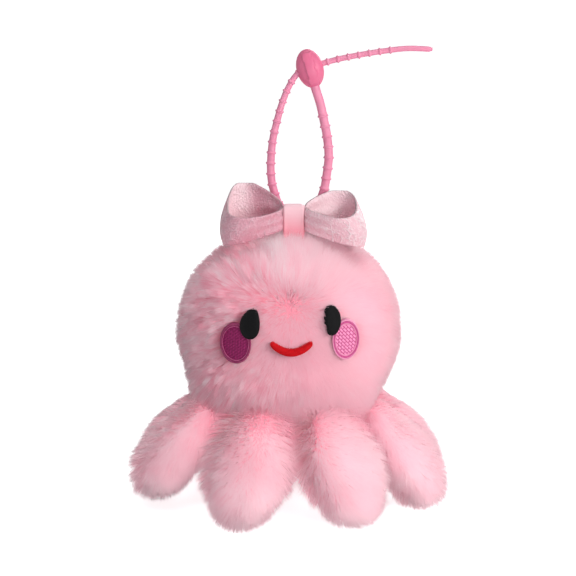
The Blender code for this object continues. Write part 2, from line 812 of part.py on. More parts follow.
def make_bow_ribbon(head_block):
    """One closed strip of ribbon, folded into two loops and pinched in the middle."""
    turns = [math.pi * (step / BOW_STATIONS - 1) for step in range(BOW_STATIONS * 2 + 1)]
    left = [bow_station(-1, turn) for turn in turns]
    right = [bow_station(1, turn) for turn in reversed(turns)]
    stations = left + right
    count = len(stations)
    rings = []
    for index, (x, y, bottom, top, lean) in enumerate(stations):
        before = stations[index - 1]
        after = stations[(index + 1) % count]
        run = Vector((after[0] - before[0], after[1] - before[1])).normalized()
        out = Vector((-run.y, run.x))
        ring = []
        for face in (1, -1):
            levels = range(BOW_LEVELS + 1) if face == 1 else range(BOW_LEVELS, -1, -1)
            for level in levels:
                share = level / BOW_LEVELS
                belly = BOW_BELLY * math.sin(math.pi * share) * min(1, abs(y) / BOW_BACK_DEPTH)
                off = out * (face * BOW_RIBBON_THICKNESS / 2 + belly)
                shift = lean * (2 * share - 1)
                ring.append(
                    (BOW_OFFSET + x + off.x, bow_plane() + y + off.y + shift, bottom + (top - bottom) * share)
                )
        rings.append(ring)
    width = len(rings[0])
    points = [p for ring in rings for p in ring]
    faces = []
    for row in range(count):
        for side in range(width):
            a = row * width + side
            b = row * width + (side + 1) % width
            step = ((row + 1) % count) * width
            faces.append((a, b, step + (side + 1) % width, step + side))
    ribbon = add_piece("bow_ribbon", points, faces, JACQUARD)
    cut(ribbon, head_block)
    return ribbon


def make_knot():
    """A narrow band of satin wrapped once round the middle of the bow."""
    bottom, top = knot_heights()
    inner_y = bow_pinch() + BOW_RIBBON_THICKNESS / 2 + CLEARANCE
    inner_z = (top - bottom) / 2 + CLEARANCE
    middle_z = (top + bottom) / 2

    def wrap(x, grow):
        corner = grow + CLEARANCE
        ring = []
        for quarter in range(4):
            sign_y = (1, -1, -1, 1)[quarter]
            sign_z = (1, 1, -1, -1)[quarter]
            for step in range(KNOT_CORNER_SIDES + 1):
                angle = math.pi / 2 * (quarter + step / KNOT_CORNER_SIDES)
                y = sign_y * (inner_y + grow - corner) + corner * math.cos(angle)
                z = sign_z * (inner_z + grow - corner) + corner * math.sin(angle)
                ring.append((x, bow_plane() + y, middle_z + z))
        return ring

    low = BOW_OFFSET - KNOT_WIDTH / 2
    high = BOW_OFFSET + KNOT_WIDTH / 2
    rings = [wrap(low, 0), wrap(low, KNOT_THICKNESS), wrap(high, KNOT_THICKNESS), wrap(high, 0)]
    width = len(rings[0])
    points = [p for ring in rings for p in ring]
    faces = []
    for row in range(4):
        for side in range(width):
            other = (side + 1) % width
            step = ((row + 1) % 4) * width
            faces.append((row * width + side, row * width + other, step + other, step + side))
    return add_piece("bow_knot_band", points, faces, SATIN)


# Assembly


def build():
    face_panel = half_shell("face_panel", -1, FUR)
    back_panel = half_shell("back_panel", 1, FUR)
    make_base_panel()
    head_solid("head_stuffing", -COVER_THICKNESS - CLEARANCE, FIBRE)
    make_patch("left_eye", eye_outline(-1), face_panel, BLACK_THREAD)
    make_patch("right_eye", eye_outline(1), face_panel, BLACK_THREAD)
    make_patch("left_cheek", cheek_outline(-1), face_panel, CHEEK_THREAD, eye_outline(-1))
    make_patch("right_cheek", cheek_outline(1), face_panel, CHEEK_THREAD, eye_outline(1))
    make_patch("mouth", smile_outline, face_panel, RED_THREAD)
    head_block = head_solid("head_block", CLEARANCE, FUR)
    ground = ground_block()
    for number in range(len(LEGS)):
        make_leg(number, head_block, ground)
    make_tab()
    cut_tab_slot(face_panel, back_panel)
    make_bow_ribbon(head_block)
    make_knot()
    band = make_band()
    lock = make_lock()
    remove_pieces(head_block, ground)
    seat = strap_seat()
    set_origin(lock, seat)
    band.data.transform(Matrix.Translation(-seat))
    band.location = seat


build()
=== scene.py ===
import math

import bmesh
import bpy
import numpy as np
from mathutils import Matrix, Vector, kdtree


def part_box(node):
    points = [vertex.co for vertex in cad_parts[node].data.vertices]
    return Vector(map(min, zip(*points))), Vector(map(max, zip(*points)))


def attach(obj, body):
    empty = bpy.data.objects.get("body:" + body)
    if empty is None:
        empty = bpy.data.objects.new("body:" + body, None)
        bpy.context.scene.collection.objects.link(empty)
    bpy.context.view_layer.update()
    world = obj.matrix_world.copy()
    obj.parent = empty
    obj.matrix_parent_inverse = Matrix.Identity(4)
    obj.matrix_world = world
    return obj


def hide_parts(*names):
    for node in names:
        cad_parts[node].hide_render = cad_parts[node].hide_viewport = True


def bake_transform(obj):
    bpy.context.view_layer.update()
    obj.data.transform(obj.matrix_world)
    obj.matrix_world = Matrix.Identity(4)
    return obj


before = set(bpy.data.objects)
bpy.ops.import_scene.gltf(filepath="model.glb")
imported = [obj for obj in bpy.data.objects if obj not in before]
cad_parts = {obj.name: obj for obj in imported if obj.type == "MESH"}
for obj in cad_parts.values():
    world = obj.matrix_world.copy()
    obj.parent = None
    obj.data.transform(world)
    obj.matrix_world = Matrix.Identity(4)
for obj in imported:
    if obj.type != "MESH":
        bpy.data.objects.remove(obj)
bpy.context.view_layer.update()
mm = 0.001  # sizes below are in millimetres until they reach a mesh


# Camera, lights and floor

cameraSettings = {"target": (-0.4, 0.0, 80.4), "distance": 700.0, "elevation": 10.0, "fieldOfView": 17.54}
lamps = {
    "key": {"place": (590, -570, 320), "size": 340, "watts": 3.6, "colour": "#FFFBF8"},
    "front": {"place": (220, -820, 30), "size": 320, "watts": 2.0, "colour": "#FFFFFF"},
    "fill": {"place": (-620, -460, 200), "size": 460, "watts": 0.8, "colour": "#F2F5FB"},
    "top": {"place": (80, -180, 770), "size": 420, "watts": 1.5, "colour": "#FFFFFF"},
    "back": {"place": (260, 620, 380), "size": 360, "watts": 2.6, "colour": "#FFFFFF"},
}
studio = {  # the floor's sizes and the glow's reach are in metres
    "skyStrength": 0.14, "floorGlow": (0.68, 0.88), "glowReach": (0.15, 1.1), "floorColour": "#F4F4F4",
    "floorRadius": 14.0, "floorDrop": 0.0004,
}


def linearColour(code):
    values = [int(code[i : i + 2], 16) / 255 for i in (1, 3, 5)]
    return tuple(v / 12.92 if v <= 0.04045 else ((v + 0.055) / 1.055) ** 2.4 for v in values) + (1.0,)


def addNode(tree, kind, settings=None, values=None, links=None):
    node = tree.nodes.new(kind)
    for key, value in (settings or {}).items():
        setattr(node, key, value)
    for key, value in (values or {}).items():
        node.inputs[key].default_value = value
    for key, source in (links or {}).items():
        tree.links.new(source, node.inputs[key])
    return node


def newMaterial(name, **values):
    material = bpy.data.materials.new(name)
    material.use_nodes = True
    shader = material.node_tree.nodes["Principled BSDF"]
    for key, value in values.items():
        shader.inputs[key.replace("_", " ")].default_value = value
    return material, material.node_tree, shader


def seenWhite(tree):
    # 1 for the rays that should meet plain white: from the camera, in gloss and through glass
    path = addNode(tree, "ShaderNodeLightPath")
    seen = addNode(
        tree, "ShaderNodeMath", {"operation": "MAXIMUM"}, {},
        {0: path.outputs["Is Camera Ray"], 1: path.outputs["Is Glossy Ray"]}
    )
    return addNode(
        tree, "ShaderNodeMath", {"operation": "MAXIMUM"}, {},
        {0: seen.outputs[0], 1: path.outputs["Is Transmission Ray"]}
    ).outputs[0]


def placeCamera(c):
    tilt = math.radians(c["elevation"])
    x, y, z = c["target"]
    spot = (x, y - c["distance"] * math.cos(tilt), z + c["distance"] * math.sin(tilt))
    bpy.ops.object.camera_add(location=[v * mm for v in spot], rotation=(math.pi / 2 - tilt, 0, 0))
    camera = bpy.context.object
    camera.data.angle = math.radians(c["fieldOfView"])
    camera.data.clip_start = 0.01
    bpy.context.scene.camera = camera


def placeLamp(name, lamp):
    place = Vector(lamp["place"]) * mm
    aim = (Vector(cameraSettings["target"]) * mm - place).to_track_quat("-Z", "Y").to_euler()
    bpy.ops.object.light_add(type="AREA", location=place, rotation=aim)
    light = bpy.context.object
    light.name = name
    light.data.size = lamp["size"] * mm
    light.data.energy = lamp["watts"]
    light.data.color = linearColour(lamp["colour"])[:3]


placeCamera(cameraSettings)
for lampName, lamp in lamps.items():
    placeLamp(lampName, lamp)

bpy.context.scene.view_settings.view_transform = "Standard"
world = bpy.data.worlds.new("studio")
bpy.context.scene.world = world
world.use_nodes = True
sky = world.node_tree
dim = addNode(
    sky, "ShaderNodeBackground", values={"Color": linearColour("#FFFFFF"), "Strength": studio["skyStrength"]}
)
bright = addNode(sky, "ShaderNodeBackground", values={"Color": linearColour("#FFFFFF"), "Strength": 1.0})
skyMix = addNode(
    sky, "ShaderNodeMixShader", links={0: seenWhite(sky), 1: dim.outputs[0], 2: bright.outputs[0]}
)
sky.links.new(skyMix.outputs[0], sky.nodes["World Output"].inputs["Surface"])

bpy.ops.object.select_all(action="DESELECT")
bpy.ops.mesh.primitive_circle_add(
    vertices=96, radius=studio["floorRadius"], fill_type="NGON", location=(0, 0, -studio["floorDrop"])
)
floor = bpy.context.object
floor.name = "studioFloor"
paper, tree, shader = newMaterial("palePaper", Base_Color=linearColour(studio["floorColour"]), Roughness=0.9)
# the glow that keeps the background white grows where the lamps no longer reach
spot = addNode(tree, "ShaderNodeTexCoord")
far = addNode(tree, "ShaderNodeVectorMath", {"operation": "LENGTH"}, {}, {0: spot.outputs["Object"]})
(near, wide), (least, most) = studio["glowReach"], studio["floorGlow"]
rise = addNode(
    tree, "ShaderNodeMapRange", {}, {1: near, 2: wide, 3: least, 4: most}, {0: far.outputs["Value"]}
)
glow = addNode(
    tree, "ShaderNodeEmission", {}, {"Color": linearColour("#FFFFFF")}, {"Strength": rise.outputs[0]}
)
none = addNode(tree, "ShaderNodeEmission", values={"Strength": 0.0})
lift = addNode(
    tree, "ShaderNodeMixShader", links={0: seenWhite(tree), 1: none.outputs[0], 2: glow.outputs[0]}
)
total = addNode(tree, "ShaderNodeAddShader", links={0: shader.outputs[0], 1: lift.outputs[0]})
tree.links.new(total.outputs[0], tree.nodes["Material Output"].inputs["Surface"])
floor.data.materials.append(paper)
print("stage set")


# Small helpers for meshes


def unit(v):
    return v / np.maximum(np.linalg.norm(v, axis=-1, keepdims=True), 1e-9)


def ramp(value, low, high):
    share = np.clip((value - low) / (high - low), 0, 1)
    return share * share * (3 - 2 * share)


def startAlone(piece=None):
    bpy.ops.object.select_all(action="DESELECT")
    if piece is not None:
        piece.select_set(True)
        bpy.context.view_layer.objects.active = piece


def makeMesh(name, points, faces, material):
    mesh = bpy.data.meshes.new(name)
    mesh.from_pydata((np.asarray(points, float) * mm).tolist(), [], [[int(i) for i in f] for f in faces])
    mesh.polygons.foreach_set("use_smooth", [True] * len(mesh.polygons))
    mesh.materials.append(material)
    piece = bpy.data.objects.new(name, mesh)
    bpy.context.collection.objects.link(piece)
    startAlone(piece)
    bpy.ops.object.mode_set(mode="EDIT")
    bpy.ops.mesh.select_all(action="SELECT")
    bpy.ops.mesh.normals_make_consistent(inside=False)
    bpy.ops.object.mode_set(mode="OBJECT")
    return piece


def gridFaces(rows, columns, wrapRows=False, wrapColumns=False):
    faces = []
    for r in range(rows if wrapRows else rows - 1):
        for c in range(columns if wrapColumns else columns - 1):
            a, b = r * columns + c, r * columns + (c + 1) % columns
            below = ((r + 1) % rows - r) * columns
            faces.append((a, b, b + below, a + below))
    return faces


# Stuffed cores: the knit backing over the filling, which the pile stands on

# warp-knit polyester, matt, seen only where the pile parts
knitBacking, tree, shader = newMaterial("knitBacking", Roughness=0.9)
place = addNode(tree, "ShaderNodeTexCoord")
# its stitches are 1.1 mm across
noise = addNode(
    tree, "ShaderNodeTexNoise", {}, {"Scale": 900.0, "Detail": 2.0}, {"Vector": place.outputs["Object"]}
)
colour = addNode(
    tree, "ShaderNodeMix", {"data_type": "RGBA"}, {6: linearColour("#EC98AC"), 7: linearColour("#F5B4C4")},
    {0: noise.outputs[0]}
)
bump = addNode(
    tree, "ShaderNodeBump", {}, {"Strength": 0.5, "Distance": 0.0003}, {"Height": noise.outputs[0]}
)
tree.links.new(colour.outputs[2], shader.inputs["Base Color"])
tree.links.new(bump.outputs[0], shader.inputs["Normal"])

stuffing = {
    "weld": 0.002, "headVoxel": 3.2, "legVoxel": 2.0, "smoothShare": 0.5, "smoothRounds": 4,
    "pressure": 4.0, "frames": 20, "mostSwell": 0.9,
}


def corners(piece):
    places = np.empty(len(piece.data.vertices) * 3, np.float32)
    piece.data.vertices.foreach_get("co", places)
    return places.reshape(-1, 3).astype(float) / mm


def stuffedCore(name, node, voxel):
    # the filling's own solid, closed to one skin and swollen by its stuffing
    piece = bpy.data.objects.new(name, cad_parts[node].data.copy())
    bpy.context.collection.objects.link(piece)
    piece.data.materials.clear()
    piece.data.materials.append(knitBacking)
    startAlone(piece)
    bpy.ops.object.mode_set(mode="EDIT")
    bpy.ops.mesh.select_all(action="SELECT")
    bpy.ops.mesh.remove_doubles(threshold=stuffing["weld"] * mm)
    bpy.ops.mesh.normals_make_consistent(inside=False)
    bpy.ops.object.mode_set(mode="OBJECT")
    skin = piece.modifiers.new("skin", "REMESH")
    skin.mode = "VOXEL"
    skin.voxel_size = voxel * mm
    bpy.ops.object.modifier_apply(modifier="skin")
    bpy.ops.object.mode_set(mode="EDIT")
    bpy.ops.mesh.select_all(action="SELECT")
    bpy.ops.mesh.vertices_smooth(factor=stuffing["smoothShare"], repeat=stuffing["smoothRounds"])
    bpy.ops.object.mode_set(mode="OBJECT")
    before = corners(piece)
    cloth = piece.modifiers.new("stuffed", "CLOTH")
    cloth.settings.use_pressure = True
    cloth.settings.uniform_pressure_force = stuffing["pressure"]
    cloth.settings.effector_weights.gravity = 0
    cloth.point_cache.frame_end = stuffing["frames"]
    for step in range(1, stuffing["frames"] + 1):
        bpy.context.scene.frame_set(step)
    bpy.ops.object.modifier_apply(modifier="stuffed")
    bpy.context.scene.frame_set(1)
    moved = corners(piece) - before
    far = np.linalg.norm(moved, axis=1, keepdims=True)
    after = before + moved * np.minimum(1, stuffing["mostSwell"] / np.maximum(far, 1e-9))
    piece.data.vertices.foreach_set("co", (after * mm).astype(np.float32).reshape(-1))
    finer = piece.modifiers.new("finer", "SUBSURF")
    finer.levels = finer.render_levels = 1
    bpy.ops.object.modifier_apply(modifier="finer")
    bpy.ops.object.shade_smooth()
    return piece


# Fur: long-pile polyester plush, every strand a thin blade

# the roots' deeper, more saturated colours are painted shade down in the pile, which casts no shadows of its
# own
furColours = {"rootDeep": "#ED8DA3", "rootPale": "#EFB9CA", "tipDeep": "#F2ACC0", "tipPale": "#F7E8EC"}
furFade = {"from": 0.15, "to": 0.85, "lightThrough": 0.3}  # where the root's colour gives way to the tip's

# synthetic pile, matt with a soft bloom; the fibres let some light through
longPile, tree, shader = newMaterial(
    "longPilePlush", Roughness=0.7, Specular_IOR_Level=0.25, Sheen_Weight=0.4, Sheen_Roughness=0.5
)
place = addNode(tree, "ShaderNodeUVMap", {"uv_map": "OFBake"})
# X is the shade, Y runs from root to tip
parts = addNode(tree, "ShaderNodeSeparateXYZ", links={0: place.outputs[0]})
root, tip = [
    addNode(
        tree, "ShaderNodeMix", {"data_type": "RGBA"},
        {6: linearColour(furColours[end + "Deep"]), 7: linearColour(furColours[end + "Pale"])},
        {0: parts.outputs["X"]}
    )
    for end in ("root", "tip")
]
along = addNode(
    tree, "ShaderNodeMapRange", {"interpolation_type": "SMOOTHSTEP"}, {1: furFade["from"], 2: furFade["to"]},
    {0: parts.outputs["Y"]}
)
colour = addNode(
    tree, "ShaderNodeMix", {"data_type": "RGBA"}, {},
    {0: along.outputs[0], 6: root.outputs[2], 7: tip.outputs[2]}
)
tree.links.new(colour.outputs[2], shader.inputs["Base Color"])
through = addNode(tree, "ShaderNodeBsdfTranslucent", {}, {}, {"Color": colour.outputs[2]})
both = addNode(
    tree, "ShaderNodeMixShader", {}, {0: furFade["lightThrough"]},
    {1: shader.outputs[0], 2: through.outputs[0]}
)
tree.links.new(both.outputs[0], tree.nodes["Material Output"].inputs["Surface"])

seeds = {"head": 11, "headFine": 12, "legs": 100, "legsFine": 300, "legStep": 7}


def waves(points, size, seed):
    # smooth noise from a few sine waves, about -1 to 1
    draw = np.random.default_rng(seed)
    total = np.zeros(len(points))
    for _ in range(6):
        way = unit(draw.normal(size=3))
        total += np.sin(points @ way * (2 * math.pi / (size * draw.uniform(0.7, 1.5))) + draw.uniform(0, 6.3))
    return total / 3


def turned(axis, vector, angle):
    return vector * np.cos(angle)[:, None] + np.cross(axis, vector) * np.sin(angle)[:, None]


def scatter(core, perSquareMm, random):
    # even random places on the core, with the normal there
    points = corners(core)
    normals = np.empty(len(points) * 3, np.float32)
    core.data.vertices.foreach_get("normal", normals)
    normals = normals.reshape(-1, 3).astype(float)
    core.data.calc_loop_triangles()
    faces = np.empty(len(core.data.loop_triangles) * 3, np.int32)
    core.data.loop_triangles.foreach_get("vertices", faces)
    faces = faces.reshape(-1, 3)
    a, b, c = (points[faces[:, i]] for i in range(3))
    area = np.linalg.norm(np.cross(b - a, c - a), axis=1) / 2
    pick = random.choice(len(area), max(int(area.sum() * perSquareMm), 8), p=area / area.sum())
    u, v = random.random((2, len(pick)))
    over = u + v > 1
    u[over], v[over] = 1 - u[over], 1 - v[over]
    weights = np.stack([1 - u - v, u, v], axis=1)[..., None]
    return (points[faces[pick]] * weights).sum(1), unit((normals[faces[pick]] * weights).sum(1))


def strandLines(root, normal, comb, length, spin, lean, pile):
    # a strand leaves the backing steeply and bends over along the comb
    comb = comb - normal * (comb * normal).sum(1)[:, None]
    strength = np.clip(np.linalg.norm(comb, axis=1), 0, 1)
    comb = turned(normal, unit(comb + 1e-6), spin)
    first = math.radians(pile["rootLean"]) * strength + lean * 0.5
    last = math.radians(pile["tipLean"]) * strength + lean
    half = (pile["length"] * length / 2)[:, None]
    bend = root + (normal * np.cos(first)[:, None] + comb * np.sin(first)[:, None]) * half
    return bend, bend + (normal * np.cos(last)[:, None] + comb * np.sin(last)[:, None]) * half


# how the strands of a tuft draw together and differ, as shares
tufting = {
    "leastPull": 0.5, "mostPull": 0.92, "strayPull": 0.1, "bendPull": 0.8, "tipKeeps": 0.25, "bendKeeps": 0.7,
    "leanDrift": 0.4, "smoothHides": 0.6, "tones": (0.02, 0.98), "widths": (0.7, 1.2),
}


def growPile(core, pile, rules, seed):
    # rules(root, normal) gives the comb, the shade, the length and how far the strands bunch into tufts
    random = np.random.default_rng(seed)
    root, normal = scatter(core, pile["perSquareMm"], random)
    tuftRoot, tuftNormal = scatter(core, 1 / pile["tuftSpacing"] ** 2, random)
    comb, tone, length, bunch = rules(root, normal)
    tuftComb, _, tuftLength, _ = rules(tuftRoot, tuftNormal)
    count, tufts = len(root), len(tuftRoot)
    swing = math.radians(pile["swirl"])

    def drift(points, change):
        return waves(points, pile["swirlSize"], seed + change) * swing

    def angles(key, many):
        return random.normal(0, math.radians(pile[key]), many)

    tuftSpin = angles("tuftSpin", tufts) + drift(tuftRoot, 1)
    tuftLean = angles("tuftLean", tufts) + drift(tuftRoot, 2) * tufting["leanDrift"]
    tuftLong = tuftLength * (1 + random.normal(0, pile["tuftLength"], tufts))
    tuftBend, tuftTip = strandLines(tuftRoot, tuftNormal, tuftComb, tuftLong, tuftSpin, tuftLean, pile)
    tree = kdtree.KDTree(tufts)
    for i, p in enumerate(tuftRoot):
        tree.insert(p, i)
    tree.balance()
    near = np.array([tree.find(p)[1] for p in root])
    spin = angles("strandSpin", count) + drift(root, 1)
    lean = angles("strandLean", count) + drift(root, 2) * tufting["leanDrift"]
    cut = random.uniform(1 - pile["uneven"], 1.0, count)
    bend, tip = strandLines(root, normal, comb, length * cut, spin, lean, pile)
    pull = np.minimum(
        pile["pull"] * bunch * random.uniform(tufting["leastPull"], 1.0, count), tufting["mostPull"]
    )
    pull[random.random(count) < pile["strays"]] *= tufting["strayPull"]
    offset, cut, pull = root - tuftRoot[near], cut[:, None], pull[:, None]
    tip = tip + (root + (tuftTip[near] + offset * tufting["tipKeeps"] - root) * cut - tip) * pull
    bendTo = root + (tuftBend[near] + offset * tufting["bendKeeps"] - root) * cut
    bend = bend + (bendTo - bend) * pull * tufting["bendPull"]
    spread = random.normal(0, pile["strandTone"], count) + random.normal(0, pile["tuftTone"], tufts)[near]
    lit = unit(normal + random.normal(0, pile["tuftLight"], (tufts, 3))[near] * bunch[:, None])
    return {
        "root": root, "bend": bend, "tip": tip, "normal": normal, "lit": lit,
        "tone": np.clip(tone + spread * bunch, *tufting["tones"]),
        # where the pile is smooth, less of the roots' painted shade shows
        "hidden": tufting["smoothHides"] * (1 - np.clip(bunch, 0, 1)),  # a smooth pile hides its roots
        "width": pile["width"] * random.uniform(*tufting["widths"], count),
        "roll": angles("roll", count),
    }


def joined(*groups):
    return {key: np.concatenate([g[key] for g in groups]) for key in groups[0]}


def chosen(strands, mask):
    return {key: value[mask] for key, value in strands.items()}


def pointAlong(strands, t):
    return strands["root"] * (1 - t) ** 2 + strands["bend"] * (2 * t * (1 - t)) + strands["tip"] * t**2


# a strand's blade: its three levels, its half widths, its places on the colour's way from root to tip, and
# the shares of its light that come from the pile, from its own face and from along it
blade = {
    "levels": (0.0, 0.55, 1.0), "halfWidths": (0.5, 0.42), "shades": (0.02, 0.55, 0.98),
    "light": (0.78, 0.18, 0.2), "floorHeight": 0.15,
}


def strandMesh(name, strands):
    # every strand is a blade of three triangles, lit as part of the pile and not as a flat blade
    root, bend, tip, normal = (strands[key] for key in ("root", "bend", "tip", "normal"))
    count, levels = len(root), blade["levels"]
    line = [pointAlong(strands, t) for t in levels]
    along = [unit((bend - root) * (1 - t) + (tip - bend) * t) for t in levels]
    roll = strands["roll"][:, None]
    ofPile, ofFace, ofLength = blade["light"]
    points, light = np.empty((count, 5, 3)), np.empty((count, 5, 3))
    for i in range(3):
        side = unit(np.cross(along[i], normal + 1e-6))
        facing = np.cross(side, along[i])
        side = side * np.cos(roll) + facing * np.sin(roll)
        own = unit(np.cross(side, along[i]))
        own = own * np.sign((own * normal).sum(1, keepdims=True) + 1e-9)
        lit = unit(strands["lit"] * ofPile + own * ofFace + along[i] * (ofLength * levels[i]))
        if i < 2:
            half = side * (strands["width"][:, None] * blade["halfWidths"][i])
            points[:, 2 * i], points[:, 2 * i + 1] = line[i] - half, line[i] + half
            light[:, 2 * i] = light[:, 2 * i + 1] = lit
        else:
            points[:, 4], light[:, 4] = line[2], lit
    points[..., 2] = np.maximum(points[..., 2], blade["floorHeight"])  # the floor flattens what reaches it
    triangles = np.array([[0, 1, 3], [0, 3, 2], [2, 3, 4]])
    corner = (np.arange(count)[:, None, None] * 5 + triangles[None]).reshape(-1)
    uv = np.empty((count, 5, 2))
    uv[..., 0] = strands["tone"][:, None]
    low, middle, high = blade["shades"]
    shade = np.array([low, low, middle, middle, high])[None]
    uv[..., 1] = shade + (high - shade) * strands["hidden"][:, None]
    mesh = bpy.data.meshes.new(name)
    mesh.vertices.add(count * 5)
    mesh.vertices.foreach_set("co", (points * mm).astype(np.float32).reshape(-1))
    mesh.loops.add(len(corner))
    mesh.loops.foreach_set("vertex_index", corner.astype(np.int32))
    mesh.polygons.add(count * 3)
    mesh.polygons.foreach_set("loop_start", np.arange(0, len(corner), 3, dtype=np.int32))
    mesh.polygons.foreach_set("use_smooth", np.ones(count * 3, bool))
    layer = mesh.uv_layers.new(name="OFBake")
    layer.data.foreach_set("uv", uv.reshape(-1, 2)[corner].astype(np.float32).reshape(-1))
    mesh.update()
    mesh.normals_split_custom_set_from_vertices(light.reshape(-1, 3).tolist())
    mesh.materials.append(longPile)
    piece = bpy.data.objects.new(name, mesh)
    bpy.context.collection.objects.link(piece)
    # fine fibres pass most of the light that meets them; the cores cast the shadows
    piece.visible_shadow = False
    return piece


# Head

head = {
    "halves": (41.2, 36.5, 36.4), "middle": 64.6, "planPower": 2.15, "sidePower": 2.4,
    "fanX": 1.0, "fanZ": 79.0, "fanRise": 26,  # the place that the face's pile is brushed out from
}
headPile = {
    "perSquareMm": 9.5, "tuftSpacing": 1.9, "length": 8.0, "width": 0.27, "roll": 30,
    "rootLean": 24, "tipLean": 64, "swirl": 14, "swirlSize": 15, "tuftSpin": 12, "tuftLean": 8,
    "tuftLength": 0.07, "strandSpin": 10, "strandLean": 7, "uneven": 0.2, "pull": 0.55, "strays": 0.1,
    "strandTone": 0.09, "tuftTone": 0.1, "tuftLight": 0.1,
}
fineHair = {"perSquareMm": 1.6, "uneven": 0.4, "pull": 0.25, "strays": 0.5, "width": 0.15}
headHem = {"zone": (-58, -42), "drop": 3.2}
# soft spots of the pile seen from the front: middle x and z, then their spreads in square millimetres
# forehead and lowLeft are spots of painted shade, crown a spot of painted highlight
headSpots = {
    "parting": (-1, 92, 30, 90), "nose": (1.0, 64, 500, 300), "clipped": (1.0, 68, 420, 150),
    "crown": (-4.5, 94, 22, 80), "chin": (-6, 38, 150, 80),
    "forehead": (-17, 90, 70, 60), "lowLeft": (-27, 44, 120, 80),
}
# zones of the pile: where each begins and where it is complete
headZones = {
    "front": (-8, 24), "wholeFront": (-20, 4), "facingUp": (0.2, 0.8), "lit": (-26, 18), "left": (16, 38),
    "low": (-58, -44), "lower": (-56, -40), "base": (-46, -36), "sides": (25, 34), "sideHeight": (-64, -48),
    "right": (16, 30), "top": (84, 94), "crownEdge": (0.2, 1.4),
    "bowDepth": (0, 2.5), "bowHeight": (80, 87), "bowWidth": (-33, -27),
}
headBrush = {
    "spread": 90, "parting": 0.6, "back": 0.1, "backOnTop": 0.4, "rise": 0.8, "fall": 0.16,
    "fallBehind": 0.34, "fallBelow": 0.2, "againstBow": (0, 0.6, 0.35), "lowEase": 0.6,
}
# painted light in these shades: base, forehead and lowLeft are painted shade, crown is a painted highlight,
# left is the shaded side's painted grey
headTones = {
    "plain": 0.48, "nose": -0.1, "base": -0.2, "crown": 0.36, "bow": 0.16, "left": 0.16, "waves": 0.04,
    "forehead": -0.14, "lowLeft": -0.12,
}
headLengths = {"plain": 1, "clipped": -0.25, "sides": -0.35, "bow": 0.55, "topRight": 0.2, "low": 0.35}
headBunch = {
    "plain": 1.6, "lit": 1.35, "litBehind": 0.45, "litInFront": 0.55,
    "clipped": 0.85, "chin": 0.7, "behind": 0.5,
}
# the bow's outline on the fur
bowFoot = {"middleX": 1.7, "knotHalf": 4, "loopReach": 23, "front": 12.5, "swell": 5.5}


def headReach(points, grow):
    # 1 on the head's surface, more outside it
    middle, plan, side = (0, 0, head["middle"]), head["planPower"], head["sidePower"]
    x, y, z = (np.abs(points[..., i] - middle[i]) / (head["halves"][i] + grow) for i in range(3))
    return ((x**plan + y**plan) ** (side / plan) + z**side) ** (1 / side)


def frontDepth(x, z, grow):
    # how far the head's front surface is before its middle, at a place seen from the front
    a, b, c = (half + grow for half in head["halves"])
    plan, side = head["planPower"], head["sidePower"]
    wide = np.clip(1 - np.abs((z - head["middle"]) / c) ** side, 0, 1) ** (plan / side)
    return b * np.clip(wide - np.abs(x / a) ** plan, 0, 1) ** (1 / plan)


def weighted(weights, fields):
    return sum((weights[name] * field for name, field in fields.items()), weights["plain"])


def headRules(root, normal):
    x, y, z = root.T

    def zone(name, value):
        return ramp(value, *headZones[name])

    def spot(name):
        middleX, middleZ, spreadX, spreadZ = headSpots[name]
        return np.exp(-((x - middleX) ** 2 / spreadX + (z - middleZ) ** 2 / spreadZ))

    # brushed out from the forehead in front, down everywhere else
    brush, front = headBrush, zone("front", -y)
    dx, dz = x - head["fanX"], z - head["fanZ"]
    away = np.hypot(dx, dz)
    fan = np.minimum(away / head["fanRise"], 1) / np.maximum(away, 1)
    parting = spot("parting") * front * np.sign(x - headSpots["parting"][0])
    fall = brush["fallBehind"] * (1 - front), brush["fallBelow"] * zone("lower", -z)
    comb = np.stack([
        dx * fan * front + x / brush["spread"] + brush["parting"] * parting,
        (brush["back"] + brush["backOnTop"] * zone("facingUp", normal[:, 2])) * (1 - front),
        dz * fan * front * brush["rise"] - brush["fall"] - fall[0] - fall[1],
    ], axis=1)
    loop = np.clip((np.abs(x - bowFoot["middleX"]) - bowFoot["knotHalf"]) / bowFoot["loopReach"], 0, 1)
    bowFront = bowFoot["front"] + bowFoot["swell"] * np.sin(loop * math.pi)
    bowSide = zone("bowDepth", -y - bowFront) * zone("bowHeight", z) * zone("bowWidth", -np.abs(x))
    comb += (np.array(brush["againstBow"]) - comb) * bowSide[:, None]  # it stands up against the bow
    low = zone("low", -z)
    comb *= (1 - brush["lowEase"] * low)[:, None]
    # the pile's shade holds painted shade at the base, forehead and lower left, a painted highlight at the
    # crown and the shaded left side's painted grey
    tone = weighted(headTones, {
        "nose": spot("nose") * front, "base": zone("base", -z),
        "crown": spot("crown") * front * zone("crownEdge", -x), "bow": bowSide, "left": zone("left", -x),
        "waves": waves(root, 22, 5), "forehead": spot("forehead"), "lowLeft": spot("lowLeft"),
    })
    clipped = spot("clipped") * front
    sides = zone("sides", np.abs(x + 3)) * zone("sideHeight", -z)
    length = weighted(headLengths, {
        "clipped": clipped, "sides": sides, "bow": bowSide,
        "topRight": zone("right", x) * zone("top", z), "low": low * (1 - sides),
    })
    b = headBunch
    smooth = b["lit"] * zone("lit", x) * (b["litBehind"] + b["litInFront"] * front)
    bunch = (b["plain"] - smooth) * (1 - b["clipped"] * clipped) + b["chin"] * spot("chin") * front
    return comb, tone, length, bunch * (b["behind"] + (1 - b["behind"]) * zone("wholeFront", -y))


# Face patches: their outlines come first, because the pile is trimmed round them

